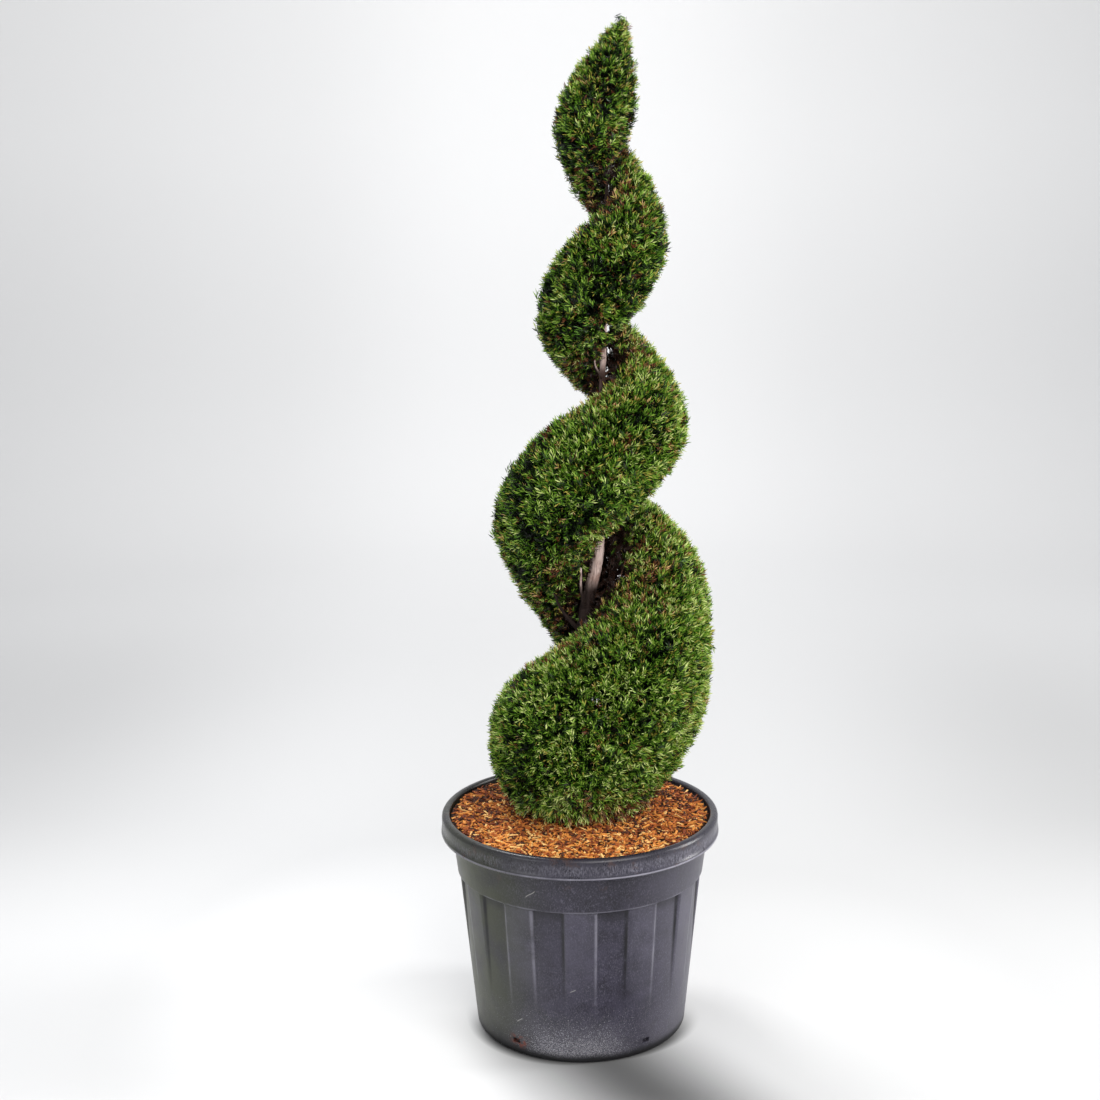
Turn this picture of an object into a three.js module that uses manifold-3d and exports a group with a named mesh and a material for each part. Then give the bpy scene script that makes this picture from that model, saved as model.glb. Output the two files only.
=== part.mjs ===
// A conifer clipped to a rising spiral, standing in a fluted plastic pot.
// Millimetres, +Z up. The origin is the centre of the pot's flat underside, the front is -Y.
import * as THREE from 'three';
import { mergeVertices } from 'three/addons/utils/BufferGeometryUtils.js';
import Module from 'manifold-3d';

const wasm = await Module();
wasm.setup();

const gap = 0.4;            // running clearance between neighbouring pieces
const columns = 16;         // facets round the trunk, shared by the masses that wrap it

// Pot
const potHeight = 319;
const wall = 3;
const baseRadius = 152;
const footRound = 6;
const bodyTop = 232;        // where the flutes end below the collar
const bodyTopRadius = 174.5;
const collarStep = 2.5;     // the collar stands out from the body by this
const collarTop = 284;
const collarRadius = 183.5;
const lipRadius = 200;
const lipDepth = 28;
const lipWidth = 11;
const fluteCount = 12;
const fluteDepth = 5;
const fluteFade = 95;       // the flutes run out into the wall at this height
const drainCount = 5;
const drainWidth = 12;
const drainHeight = 7;
const drainLevel = 18;

// Soil and mulch
const soilCentre = 318;     // level ground round the trunk
const soilEdge = 312.5;
const soilFlat = 70;

// Trunk
const trunkTop = 1355;
const trunkTipRadius = 2;
const trunkBaseRadius = 17;
const trunkTaper = 1.9;
const flareWidth = 8;
const flareHeight = 28;

// Spiral, by turn: turn 0 is on the left side and the groove rises by way of the front. Heights of
// the groove's middle, and how far the foliage above and below it is cut back from that middle.
const tipHeight = 1415;
const grooveStart = -0.5;
const grooveEnd = 2.75;
const wedgeTurn = 0.25;
const grooveHeights = [
  [-0.5, 364], [0, 568], [0.5, 756], [1, 904], [1.5, 1010], [2, 1139], [2.5, 1241], [3, 1346],
];
const cutAbove = [
  [-0.5, 2], [-0.15, 25.5], [0, 34.9], [0.12, 43.4], [0.25, 46.4], [0.38, 48.2], [0.5, 47.6],
  [0.75, 46.2], [1, 35.3], [1.25, 13], [1.5, 28.3], [1.75, 37], [2, 39.2], [2.25, 16.5],
  [2.5, 13.4], [2.75, 1.5],
];
const cutBelow = [
  [-0.5, 2], [-0.15, 22.1], [0, 32.2], [0.12, 42.5], [0.25, 55], [0.38, 48.8], [0.5, 22.4],
  [0.75, 12.9], [1, 18.7], [1.25, 26.5], [1.5, 25.7], [1.75, 19.8], [2, 12.7], [2.25, 9.6],
  [2.5, 13.8], [2.75, 1.5],
];

// Crown, by height: reach of the clipped face, the stem's lean, and the curl of the face off the stem
const clipRadii = [
  [310, 111.3], [380, 132.6], [460, 153.7], [600, 163.2], [760, 148.3], [880, 117.3],
  [1020, 90.6], [1130, 82.3], [1250, 66.5], [1325, 49], [1352, 38.8], [1378, 26.4], [1405, 11],
  [1415, 1],
];
const lean = [
  [310, 6], [460, 5], [560, 6], [621, 12.5], [645.5, 18.5], [670, 24.5], [707, 29], [800, 32],
  [970, 36], [1100, 41], [1260, 42], [1370, 42], [1415, 43],
];
const curl = [
  [310, -7.6], [400, 4.2], [480, 15.8], [560, 22.1], [620, 20.7], [680, 12.9], [760, 4.6],
  [860, -0.4], [1040, 0.1], [1100, 1.1], [1200, -5.4], [1260, -11.7], [1320, -9.3], [1355, 0],
  [1378, 8.4], [1405, 16.7], [1415, 24.4],
];
const bendHeight = 655;     // the stem leans over here, and the masses stand this much clearer of it
const bendRoom = 1.4;
const footLevel = 270;      // the lowest turn is rounded as if it went on down to here
const underPower = 1.64;     // roundness of a mass's underside, then of its top
const underRoot = 2.02;
const topPower = 2.55;
const topRoot = 2.88;

// Boughs that cross the open groove: turn along the groove, length outwards, radius at the trunk
const boughs = {
  bough_low_left: [0.08, 42, 3.6],
  bough_low_front: [0.17, 34, 2.8],
  bough_low_back: [0.66, 40, 3.2],
  bough_middle_front: [1.2, 26, 1.9],
  bough_middle_back: [1.72, 26, 1.7],
};

const plastic = new THREE.Color(0x3d3d44);
const mulch = new THREE.Color(0x7a4a2c);
const bark = new THREE.Color(0x8a7468);
const leaf = new THREE.Color(0x3f6a2c);

const clamp = THREE.MathUtils.clamp;

// Smooth curve through pairs of place and value, with the slope at each pair taken from its neighbours
function smooth(pairs, at) {
  const last = pairs.length - 1;
  const x = clamp(at, pairs[0][0], pairs[last][0]);
  let i = 0;
  while (i < last - 1 && x > pairs[i + 1][0]) i += 1;
  const slope = (k) => {
    const a = pairs[Math.max(k - 1, 0)];
    const b = pairs[Math.min(k + 1, last)];
    return (b[1] - a[1]) / (b[0] - a[0]);
  };
  const span = pairs[i + 1][0] - pairs[i][0];
  const t = (x - pairs[i][0]) / span;
  const rise = pairs[i + 1][1] - pairs[i][1];
  const a = slope(i) * span - rise;
  const b = rise - slope(i + 1) * span;
  return pairs[i][1] + t * rise + t * (1 - t) * ((1 - t) * a + t * b);
}

const leanAt = (z) => smooth(lean, z);
const curlAt = (z) => smooth(curl, z);

function trunkRadius(z) {
  const left = clamp((trunkTop - z) / (trunkTop - soilCentre), 0, 1);
  const flare = flareWidth * Math.exp(-(z - soilCentre) / flareHeight);
  return trunkTipRadius + (trunkBaseRadius - trunkTipRadius) * left ** trunkTaper + flare;
}

// Point at an angle and radius round the leaning stem
function aroundStem(angle, radius, z) {
  return new THREE.Vector3(leanAt(z) + radius * Math.cos(angle), radius * Math.sin(angle), z);
}

// Solid from a grid of rows and columns of points. Both ways round may close on themselves,
// and an open end of the rows is closed by a fan about its middle.
function solidFromRings(rings) {
  const around = rings[0].length;
  const points = rings.flat();
  const faces = [];
  for (let i = 0; i + 1 < rings.length; i += 1) {
    for (let j = 0; j < around; j += 1) {
      const a = i * around + j;
      const b = i * around + ((j + 1) % around);
      const c = b + around;
      const d = a + around;
      // Two surfaces that lie together are split the same way, whichever way their rings run
      if (points[d].z < points[a].z) faces.push(a, b, d, b, c, d);
      else faces.push(a, b, c, a, c, d);
    }
  }
  for (const [ring, flip] of [[0, true], [rings.length - 1, false]]) {
    const centre = new THREE.Vector3();
    rings[ring].forEach((p) => centre.add(p));
    points.push(centre.divideScalar(around));
    const middle = points.length - 1;
    for (let j = 0; j < around; j += 1) {
      const a = ring * around + j;
      const b = ring * around + ((j + 1) % around);
      faces.push(middle, flip ? b : a, flip ? a : b);
    }
  }
  return toGeometry(points, faces);
}

function toGeometry(points, faces) {
  const geometry = new THREE.BufferGeometry().setFromPoints(points);
  geometry.setIndex(faces);
  const merged = mergeVertices(geometry, 1e-3);
  const index = merged.getIndex().array;
  const kept = [];
  for (let i = 0; i < index.length; i += 3) {
    const [a, b, c] = [index[i], index[i + 1], index[i + 2]];
    if (a !== b && b !== c && c !== a) kept.push(a, b, c);
  }
  merged.setIndex(kept);
  return merged;
}

function toManifold(geometry) {
  const vertProperties = Float32Array.from(geometry.getAttribute('position').array);
  const triVerts = Uint32Array.from(geometry.getIndex().array);
  return new wasm.Manifold(new wasm.Mesh({ numProp: 3, vertProperties, triVerts }));
}

function fromManifold(solid) {
  const { vertProperties, triVerts } = solid.getMesh();
  const geometry = new THREE.BufferGeometry();
  geometry.setAttribute('position', new THREE.BufferAttribute(vertProperties, 3));
  geometry.setIndex(new THREE.BufferAttribute(triVerts, 1));
  return geometry;
}

const part = new THREE.Group();

function add(name, geometry, color, roughness) {
  const shape = geometry.toNonIndexed();
  shape.computeVertexNormals();
  const mesh = new THREE.Mesh(shape, new THREE.MeshStandardMaterial({ color, roughness, metalness: 0 }));
  mesh.name = name;
  part.add(mesh);
}

// ---- Pot and soil ----

// Angles round the pot: the two edges and the two inner corners of each flute, and the rib's middle
const fluteEdge = THREE.MathUtils.degToRad(8.5);
const fluteFloor = THREE.MathUtils.degToRad(6.5);
const flutePitch = (2 * Math.PI) / fluteCount;
const potAngles = [];
for (let k = 0; k < fluteCount; k += 1) {
  const middle = -Math.PI / 2 + (k + 0.5) * flutePitch;
  for (const side of [-flutePitch / 2, -fluteEdge, -fluteFloor, fluteFloor, fluteEdge]) {
    potAngles.push(middle + side);
  }
}

function fluteAt(angle) {
  const turn = (angle + Math.PI / 2) / flutePitch - 0.5;
  const off = Math.abs(turn - Math.round(turn)) * flutePitch;
  return clamp((fluteEdge - off) / (fluteEdge - fluteFloor), 0, 1);
}

function bodyRadius(z) {
  return baseRadius + (bodyTopRadius - baseRadius) * clamp(z / bodyTop, 0, 1);
}

// Outside of the wall below the lip. The flutes stop at a flat shelf under the collar.
function wallRadius(angle, z) {
  if (z > bodyTop) {
    const up = clamp((z - bodyTop) / (collarTop - bodyTop), 0, 1);
    return bodyTopRadius + collarStep + (collarRadius - bodyTopRadius - collarStep) * up;
  }
  const depth = fluteDepth * clamp((z - fluteFade) / (bodyTop - fluteFade), 0, 1);
  return bodyRadius(z) - depth * fluteAt(angle);
}

function potRing(radiusAt, z) {
  return potAngles.map((angle) => {
    const r = radiusAt(angle, z);
    return new THREE.Vector3(r * Math.cos(angle), r * Math.sin(angle), z);
  });
}

function makePot() {
  const round = (radius) => () => radius;
  const lipBottom = potHeight - lipDepth;
  const inner = (angle, z) => wallRadius(angle, z) - wall;
  const rimInner = lipRadius - lipWidth;
  const rings = [
    potRing(round(baseRadius - footRound), 0),
    potRing(round(baseRadius - footRound * 0.29), footRound * 0.29),
    potRing(round(bodyRadius(footRound)), footRound),
    potRing(wallRadius, fluteFade),
    potRing(wallRadius, bodyTop),
    potRing(wallRadius, bodyTop + 0.5),
    potRing(wallRadius, collarTop),
    potRing(round(lipRadius - 3), lipBottom),
    potRing(round(lipRadius), lipBottom + 1.5),
    potRing(round(lipRadius), potHeight - 5),
    potRing(round(lipRadius - 1.5), potHeight - 1.5),
    potRing(round(lipRadius - 5), potHeight),
    potRing(round(rimInner), potHeight - 3),
    potRing(round(rimInner - 2), potHeight - 12),
    potRing(inner, collarTop - 4),
    potRing(inner, bodyTop + 0.5 - wall),
    potRing(inner, bodyTop - wall),
    potRing(inner, fluteFade),
    potRing(inner, wall),
  ];
  let pot = toManifold(solidFromRings(rings));
  for (let k = 0; k < drainCount; k += 1) {
    const hole = new THREE.BoxGeometry(30, drainWidth, drainHeight);
    hole.translate(baseRadius, 0, drainLevel + drainHeight / 2);
    hole.rotateZ(-Math.PI / 2 + ((k + 0.5) * 2 * Math.PI) / drainCount);
    hole.deleteAttribute('normal');
    hole.deleteAttribute('uv');
    pot = pot.subtract(toManifold(mergeVertices(hole)));
  }
  return fromManifold(pot);
}

function makeSoil() {
  const inside = (angle, z) => wallRadius(angle, z) - wall - gap;
  const level = (radius, z) => potRing(() => radius, z);
  const rimInner = lipRadius - lipWidth - 2 - gap;
  return solidFromRings([
    potRing(inside, wall + gap),
    potRing(inside, fluteFade),
    potRing(inside, bodyTop - wall - gap),
    potRing(inside, bodyTop + 0.5 - wall - gap),
    potRing(inside, collarTop - 4),
    level(rimInner - 0.2, soilEdge - 1.5),
    level(rimInner - 4, soilEdge),
    level(soilFlat, soilCentre),
  ]);
}

// ---- Trunk and boughs ----

function makeTrunk() {
  const rings = [];
  const foot = soilCentre + gap;
  const levels = [0, 0.006, 0.014, 0.028, 0.05];
  for (let t = 0.08; t < 0.999; t += 0.0354) {
    levels.push(t);
    if (t > 0.22 && t < 0.4) levels.push(t + 0.0177);
  }
  levels.push(1);
  for (const t of levels) {
    const z = foot + t * (trunkTop - foot);
    const ring = [];
    for (let j = 0; j < columns; j += 1) {
      ring.push(aroundStem((j / columns) * 2 * Math.PI, trunkRadius(z), z));
    }
    rings.push(ring);
  }
  return solidFromRings(rings);
}

// Height of the groove's middle at a turn, and the cut above and below it
const grooveAt = (turn) => smooth(grooveHeights, turn);
const aboveAt = (turn) => Math.max(1.2, smooth(cutAbove, turn));
const belowAt = (turn) => Math.max(1.2, smooth(cutBelow, turn));

const turnAngle = (turn) => (turn + 0.5) * 2 * Math.PI;

// One tapering limb from the trunk, up across the groove to the underside of the mass above
function makeBough(turn, reach, radius) {
  const angle = turnAngle(turn);
  const steep = (grooveAt(turn + 0.05) - grooveAt(turn - 0.05)) / (0.1 * 2 * Math.PI);
  const uphill = turn + Math.asin(radius / (trunkRadius(grooveAt(turn)) + radius)) / (2 * Math.PI);
  const lowest = grooveAt(uphill) - belowAt(uphill) + radius + 4;
  const start = Math.max(grooveAt(turn) - belowAt(turn) * 0.3, lowest);
  const stem = trunkRadius(start) + gap;
  const tip = radius * 0.55;
  const clear = tip * Math.hypot(1, steep / (stem + reach)) + 7;
  const end = grooveAt(turn) + aboveAt(turn) - clear;
  const rings = [];
  const steps = 5;
  for (let i = 0; i <= steps; i += 1) {
    const t = i / steps;
    const out = stem + reach * t;
    const z = start + (end - start) * t ** 1.3;
    const size = radius + (tip - radius) * t;
    const tilt = Math.atan2((end - start) * 1.3 * Math.max(t, 0.05) ** 0.3, reach);
    const ring = [];
    for (let j = 0; j < 8; j += 1) {
      const a = (j / 8) * 2 * Math.PI;
      const side = size * Math.cos(a);
      const up = size * Math.sin(a);
      const place = i === 0 ? out : out - up * Math.sin(tilt);
      const height = i === 0 ? z + up : z + up * Math.cos(tilt);
      const p = aroundStem(angle, place, height);
      p.x -= side * Math.sin(angle);
      p.y += side * Math.cos(angle);
      ring.push(p);
    }
    rings.push(ring);
  }
  return solidFromRings(rings);
}

// ---- Foliage ----

// How far the clipped face stands out between the groove below and the groove above, from 0 to 1
function clipShape(z, low, high, lowDepth, highDepth) {
  const u = clamp((z - (low + high) / 2) / ((high - low) / 2), -1, 1);
  const [power, root] = u < 0 ? [underPower, underRoot] : [topPower, topRoot];
  const face = Math.max(0, 1 - Math.abs(u) ** power) ** (1 / root);
  return 1 - (u < 0 ? lowDepth : highDepth) * (1 - face);
}

const grooveDepth = (turn) => clamp((turn - grooveStart) / 0.35, 0, 1)
  * clamp((grooveEnd - turn) / 0.25, 0, 1);

// Reach of the clipped face from the stem, with small swells and hollows left by the shears
function clipRadius(angle, z) {
  const uneven = 1 + 0.022 * Math.sin(3 * angle + z / 61) + 0.018 * Math.sin(5 * angle - z / 37 + 1);
  return smooth(clipRadii, z) * uneven + curlAt(z) * Math.cos(angle);
}

// One mass: the quarter turn of the band that hangs below this stretch of groove
function makeMass(turn) {
  const steps = 4;
  const rows = 9;
  const grid = [];
  for (let i = 0; i <= steps; i += 1) {
    const at = turn + (wedgeTurn * i) / steps;
    const angle = turnAngle(at);
    const mid = turn + wedgeTurn / 2;
    const below = mid - 1 > grooveStart;
    const above = mid < grooveEnd;
    const low = below ? grooveAt(at - 1) + aboveAt(at - 1) : footLevel;
    const high = above ? grooveAt(at) - belowAt(at) : tipHeight + 10;
    const bottom = Math.max(low, soilCentre + 1);
    const top = Math.min(high, trunkTop);
    const inward = i === 0 ? 1 : i === steps ? -1 : 0;
    const column = [];
    for (let j = 0; j <= rows; j += 1) {
      const z = bottom + (top - bottom) * (0.5 - 0.5 * Math.cos((Math.PI * j) / rows));
      const face = clipShape(z, low, high, below ? grooveDepth(at - 1) : 1, above ? grooveDepth(at) : 0);
      const inner = trunkRadius(z) + gap + bendRoom * Math.exp(-(((z - bendHeight) / 55) ** 2));
      const outer = Math.max(inner + 3, clipRadius(angle, z) * face);
      const pair = [inner, outer].map((r) => {
        const p = aroundStem(angle, r, z);
        p.x -= inward * gap * 0.5 * Math.sin(angle);
        p.y += inward * gap * 0.5 * Math.cos(angle);
        return p;
      });
      column.push(pair);
    }
    grid.push([...column.map((pair) => pair[1]), ...column.map((pair) => pair[0]).reverse()]);
  }
  return blockFromSections(grid);
}

// Solid swept through sections whose two long sides have matching points, so that the ends
// close with one strip of quads
function blockFromSections(sections) {
  const size = sections[0].length;
  const points = sections.flat();
  const faces = [];
  for (let i = 0; i + 1 < sections.length; i += 1) {
    for (let j = 0; j < size; j += 1) {
      const a = i * size + j;
      const b = i * size + ((j + 1) % size);
      // The underside is split the same way as the top of the mass that it faces
      if (j === size - 1) faces.push(a, a + size, b, b, a + size, b + size);
      else faces.push(a, a + size, b + size, a, b + size, b);
    }
  }
  for (const [section, flip] of [[0, false], [sections.length - 1, true]]) {
    for (let j = 0; j + 1 < size / 2; j += 1) {
      const a = section * size + j;
      const b = a + 1;
      const c = section * size + size - 2 - j;
      const d = c + 1;
      if (flip) faces.push(a, c, b, a, d, c);
      else faces.push(a, b, c, a, c, d);
    }
  }
  return toGeometry(points, faces);
}

// The leader's pointed end, above the trunk's tip
function makeTip() {
  const rings = [];
  const foot = trunkTop + gap;
  const steps = 5;
  for (let i = 0; i <= steps; i += 1) {
    const t = i / steps;
    const z = foot + (tipHeight - foot) * t;
    const ring = [];
    for (let j = 0; j < columns; j += 1) {
      const angle = (j / columns) * 2 * Math.PI;
      const p = aroundStem(angle, Math.max(1.5, smooth(clipRadii, z)), z);
      p.x += curlAt(z);
      ring.push(p);
    }
    rings.push(ring);
  }
  return solidFromRings(rings);
}

const quarterNames = ['front_left', 'front_right', 'back_right', 'back_left'];

add('pot', makePot(), plastic, 0.45);
add('soil', makeSoil(), mulch, 0.9);
add('trunk', makeTrunk(), bark, 0.85);
for (const [name, [turn, reach, radius]] of Object.entries(boughs)) {
  add(name, makeBough(turn, reach, radius), bark, 0.85);
}
for (let turn = grooveStart; turn < grooveEnd + 1; turn += wedgeTurn) {
  const quarter = quarterNames[(Math.round(turn / wedgeTurn) + 4) % 4];
  const level = Math.floor(turn - grooveStart) + 1;
  add(`foliage_${level}_${quarter}`, makeMass(turn), leaf, 0.7);
}
add('foliage_tip', makeTip(), leaf, 0.7);

export default part;
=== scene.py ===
import math
import bpy
import numpy as np
from mathutils import Matrix, kdtree


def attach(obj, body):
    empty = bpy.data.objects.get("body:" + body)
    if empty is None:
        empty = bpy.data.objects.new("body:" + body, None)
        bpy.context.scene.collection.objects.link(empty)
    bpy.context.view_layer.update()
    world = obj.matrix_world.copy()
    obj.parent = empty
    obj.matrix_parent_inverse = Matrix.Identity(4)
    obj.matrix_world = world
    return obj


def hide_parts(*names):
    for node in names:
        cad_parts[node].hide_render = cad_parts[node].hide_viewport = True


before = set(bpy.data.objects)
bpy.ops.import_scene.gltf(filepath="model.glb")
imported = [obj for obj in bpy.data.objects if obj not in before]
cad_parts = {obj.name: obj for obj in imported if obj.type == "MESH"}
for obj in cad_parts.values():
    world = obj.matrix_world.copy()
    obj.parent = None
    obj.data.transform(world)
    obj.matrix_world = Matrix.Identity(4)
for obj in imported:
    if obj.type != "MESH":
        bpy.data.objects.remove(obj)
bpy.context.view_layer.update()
scene = bpy.context.scene
tau = 2 * math.pi
print("frame loaded,", len(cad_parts), "nodes")


def smoothCurve(pairs, at):
    # cubic through pairs of place and value; the slope at a pair is that between its two neighbours
    xs, ys = np.array(pairs, float).T
    last = len(xs) - 1
    at = np.clip(np.asarray(at, float), xs[0], xs[-1])
    i = np.clip(np.searchsorted(xs, at, side="left") - 1, 0, last - 1)
    before = np.maximum(np.arange(last + 1) - 1, 0)
    after = np.minimum(np.arange(last + 1) + 1, last)
    slope = (ys[after] - ys[before]) / (xs[after] - xs[before])
    span = xs[i + 1] - xs[i]
    rise = ys[i + 1] - ys[i]
    t = (at - xs[i]) / span
    a = slope[i] * span - rise
    b = rise - slope[i + 1] * span
    return ys[i] + t * rise + t * (1 - t) * ((1 - t) * a + t * b)


def mixed(a, b, t):
    return a + (b - a) * t


def smoothStep(low, high, x):
    t = np.clip((np.asarray(x, float) - low) / (high - low), 0, 1)
    return t * t * (3 - 2 * t)


def unit(v):
    return v / np.maximum(np.linalg.norm(v, axis=-1, keepdims=True), 1e-9)


def circle(count):
    # angles spaced evenly round a full turn
    return np.linspace(0, tau, count + 1)[:-1]


def polar(radius, angle, height):
    # places by distance and angle from the vertical axis, and height
    x, y = radius * np.cos(angle), radius * np.sin(angle)
    return np.stack([x, y, height + 0 * x], -1)


def swell(points, size, seed, waves=7):
    # soft 3-D noise between about -1 and 1: a sum of plane waves in random directions, size metres long
    rng = np.random.default_rng(seed)
    way = unit(rng.normal(size=(waves, 3))) * tau / size * rng.uniform(0.7, 1.5, (waves, 1))
    phase = rng.uniform(0, tau, waves)
    return np.sin(points @ way.T + phase).sum(-1) / math.sqrt(waves)


def latticeNoise(u, v, cellsU, cellsV, seed):
    # values on a lattice, blended by a cubic step; closed round u, both u and v run from 0 to 1
    rng = np.random.default_rng(seed)
    values = rng.uniform(-1, 1, (cellsV + 2, cellsU))
    x = (np.asarray(u) % 1.0) * cellsU
    y = np.clip(v, 0, 1) * cellsV
    i = np.floor(x).astype(int) % cellsU
    j = np.floor(y).astype(int)
    fx = x - np.floor(x)
    fy = y - j
    fx = fx * fx * (3 - 2 * fx)
    fy = fy * fy * (3 - 2 * fy)
    k = (i + 1) % cellsU
    low = mixed(values[j, i], values[j, k], fx)
    high = mixed(values[j + 1, i], values[j + 1, k], fx)
    return mixed(low, high, fy)


def makeObject(name, points, faces, materials, slots=None, smooth=True):
    # faces is an array with one row of corners per face
    mesh = bpy.data.meshes.new(name)
    points = np.ascontiguousarray(points, dtype=np.float32)
    faces = np.ascontiguousarray(faces, dtype=np.int32)
    count, corners = faces.shape
    mesh.vertices.add(len(points))
    mesh.vertices.foreach_set("co", points.ravel())
    mesh.loops.add(count * corners)
    mesh.loops.foreach_set("vertex_index", faces.ravel())
    mesh.polygons.add(count)
    mesh.polygons.foreach_set("loop_start", np.arange(count, dtype=np.int32) * corners)
    mesh.polygons.foreach_set("loop_total", np.full(count, corners, dtype=np.int32))
    for material in materials:
        mesh.materials.append(material)
    if slots is not None:
        mesh.polygons.foreach_set("material_index", np.ascontiguousarray(slots, dtype=np.int32))
    mesh.polygons.foreach_set("use_smooth", np.full(count, smooth))
    mesh.update(calc_edges=True)
    mesh.validate()
    piece = bpy.data.objects.new(name, mesh)
    scene.collection.objects.link(piece)
    return piece


def gridFaces(rows, columns):
    # quads of a grid of rows by columns, closed on itself along the columns
    i = np.arange(rows - 1)[:, None]
    j = np.arange(columns)[None, :]
    k = (j + 1) % columns
    quads = [i * columns + j, i * columns + k, (i + 1) * columns + k, (i + 1) * columns + j]
    return np.stack(quads, axis=-1).reshape(-1, 4)


# a box by its corners, one unit apart, and by its sides, each a row of corner numbers
boxCorners = np.array([[x, y, z] for x in (0, 1) for y in (0, 1) for z in (0, 1)], float)
boxSides = np.array([[0, 1, 3, 2], [4, 6, 7, 5], [0, 4, 5, 1], [2, 3, 7, 6], [0, 2, 6, 4], [1, 5, 7, 3]])


def laidOut(shapes, places, ahead, side, up):
    # each shape's own x, y and z are laid along its ahead, side and up, from its place
    each = (slice(None), *[None] * (shapes.ndim - 2))
    turned = places[each] + shapes[..., :1] * ahead[each] + shapes[..., 1:2] * side[each]
    return turned + shapes[..., 2:] * up[each]


def finishPiece(piece, replaced=()):
    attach(piece, "root")
    if replaced:
        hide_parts(*replaced)


class Value:
    # a socket's output; arithmetic on values adds Math nodes
    def __init__(self, graph, socket):
        self.graph, self.socket = graph, socket

    def math(self, operation, *others):
        return self.graph.node("ShaderNodeMath", {"operation": operation}, dict(enumerate((self, *others))))

    def __add__(self, other):
        return self.math("ADD", other)

    def __mul__(self, other):
        return self.math("MULTIPLY", other)

    def __sub__(self, other):
        return self.math("SUBTRACT", other)

    def __truediv__(self, other):
        return self.math("DIVIDE", other)

    def __rsub__(self, other):
        return self.graph.node("ShaderNodeMath", {"operation": "SUBTRACT"}, {0: other, 1: self})

    def __pow__(self, other):
        return self.math("POWER", other)

    __radd__ = __add__
    __rmul__ = __mul__

    def above(self, low, high):
        # 0 under low, 1 over high, smooth between
        settings = {"interpolation_type": "SMOOTHSTEP"}
        sockets = {"Value": self, "From Min": low, "From Max": high, "To Min": 0.0, "To Max": 1.0}
        return self.graph.node("ShaderNodeMapRange", settings, sockets, "Result")

    def below(self, low, high):
        return 1 - self.above(low, high)


class Graph:
    # a material with one Principled shader; shaderValues name its sockets, with _ for a space
    def __init__(self, name, **shaderValues):
        self.material = bpy.data.materials.new(name)
        self.material.use_nodes = True
        self.tree = self.material.node_tree
        self.shader = self.tree.nodes["Principled BSDF"]
        for socketName, value in shaderValues.items():
            self.shader.inputs[socketName.replace("_", " ")].default_value = value
        if "Base_Color" in shaderValues:
            self.material.diffuse_color = shaderValues["Base_Color"]

    def node(self, kind, settings=None, sockets=None, output=0):
        made = self.tree.nodes.new(kind)
        for key, value in (settings or {}).items():
            if key == "stops":
                ramp = made.color_ramp
                while len(ramp.elements) < len(value):
                    ramp.elements.new(0.5)
                for element, (place, color) in zip(ramp.elements, value):
                    element.position, element.color = place, color
            else:
                setattr(made, key, value)
        for key, value in (sockets or {}).items():
            socket = made.inputs[key]
            if isinstance(value, Value):
                self.tree.links.new(value.socket, socket)
            else:
                socket.default_value = value
        return Value(self, made.outputs[output])

    def objectPlace(self):
        return self.node("ShaderNodeTexCoord", output="Object")

    def axes(self, place):
        parts = self.node("ShaderNodeSeparateXYZ", None, {0: place}).socket.node
        return [Value(self, parts.outputs[n]) for n in range(3)]

    def scaled(self, place, scale):
        return self.node("ShaderNodeVectorMath", {"operation": "MULTIPLY"}, {0: place, 1: scale})

    def noise(self, place, scale, detail=4.0, roughness=0.55, distortion=0.0):
        sockets = {"Vector": place, "Scale": scale, "Detail": detail, "Roughness": roughness,
                   "Distortion": distortion}
        return self.node("ShaderNodeTexNoise", None, sockets, "Fac")

    def ramp(self, value, stops):
        # stops are pairs of a place and a screen colour
        stops = [(place, rgb(*color)) for place, color in stops]
        return self.node("ShaderNodeValToRGB", {"stops": stops}, {"Fac": value}, "Color")

    def greys(self, value):
        # a level between 0 and 1 as a grey colour
        return self.ramp(value, [(0, (0, 0, 0)), (1, (255, 255, 255))])

    def paint(self, color, amount, over):
        # a screen colour laid over another by amount. Sockets 0, 6 and 7 of a Mix node are its factor and two
        # colours, and output 2 is the colour
        sockets = {0: amount, 6: color, 7: rgb(*over)}
        return self.node("ShaderNodeMix", {"data_type": "RGBA"}, sockets, 2)

    def feed(self, socketName, value):
        self.tree.links.new(value.socket, self.shader.inputs[socketName])

    def bump(self, height, strength, distance, under=None):
        sockets = {"Height": height, "Strength": strength, "Distance": distance}
        if under is not None:
            sockets["Normal"] = under
        return self.node("ShaderNodeBump", None, sockets, "Normal")


def rgb(red, green, blue):
    # a colour given as screen values from 0 to 255, as linear light
    screen = np.array([red, green, blue]) / 255
    linear = np.where(screen <= 0.04045, screen / 12.92, ((screen + 0.055) / 1.055) ** 2.4)
    return (*linear.tolist(), 1.0)


def makePlainMaterials(colors, roughness, gloss):
    # one plain material for each named screen colour
    return [Graph(name, Base_Color=rgb(*color), Roughness=roughness, Specular_IOR_Level=gloss).material
            for name, color in colors.items()]


view = {
    "distance": 2.335, "elevation": 11.48, "aimHeight": 0.70, "aimSide": -0.039,
    "lens": 54.6, "sensor": 36, "roll": -0.59, "nearest": 0.05, "furthest": 60,
}


def placeInScene(made, side, up, forward, place):
    # a camera or a lamp: x to the side, y up, looking along forward
    matrix = np.eye(4)
    matrix[:3, 0], matrix[:3, 1], matrix[:3, 2], matrix[:3, 3] = side, up, -forward, place
    made.matrix_world = Matrix(matrix.tolist())
    scene.collection.objects.link(made)


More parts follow.
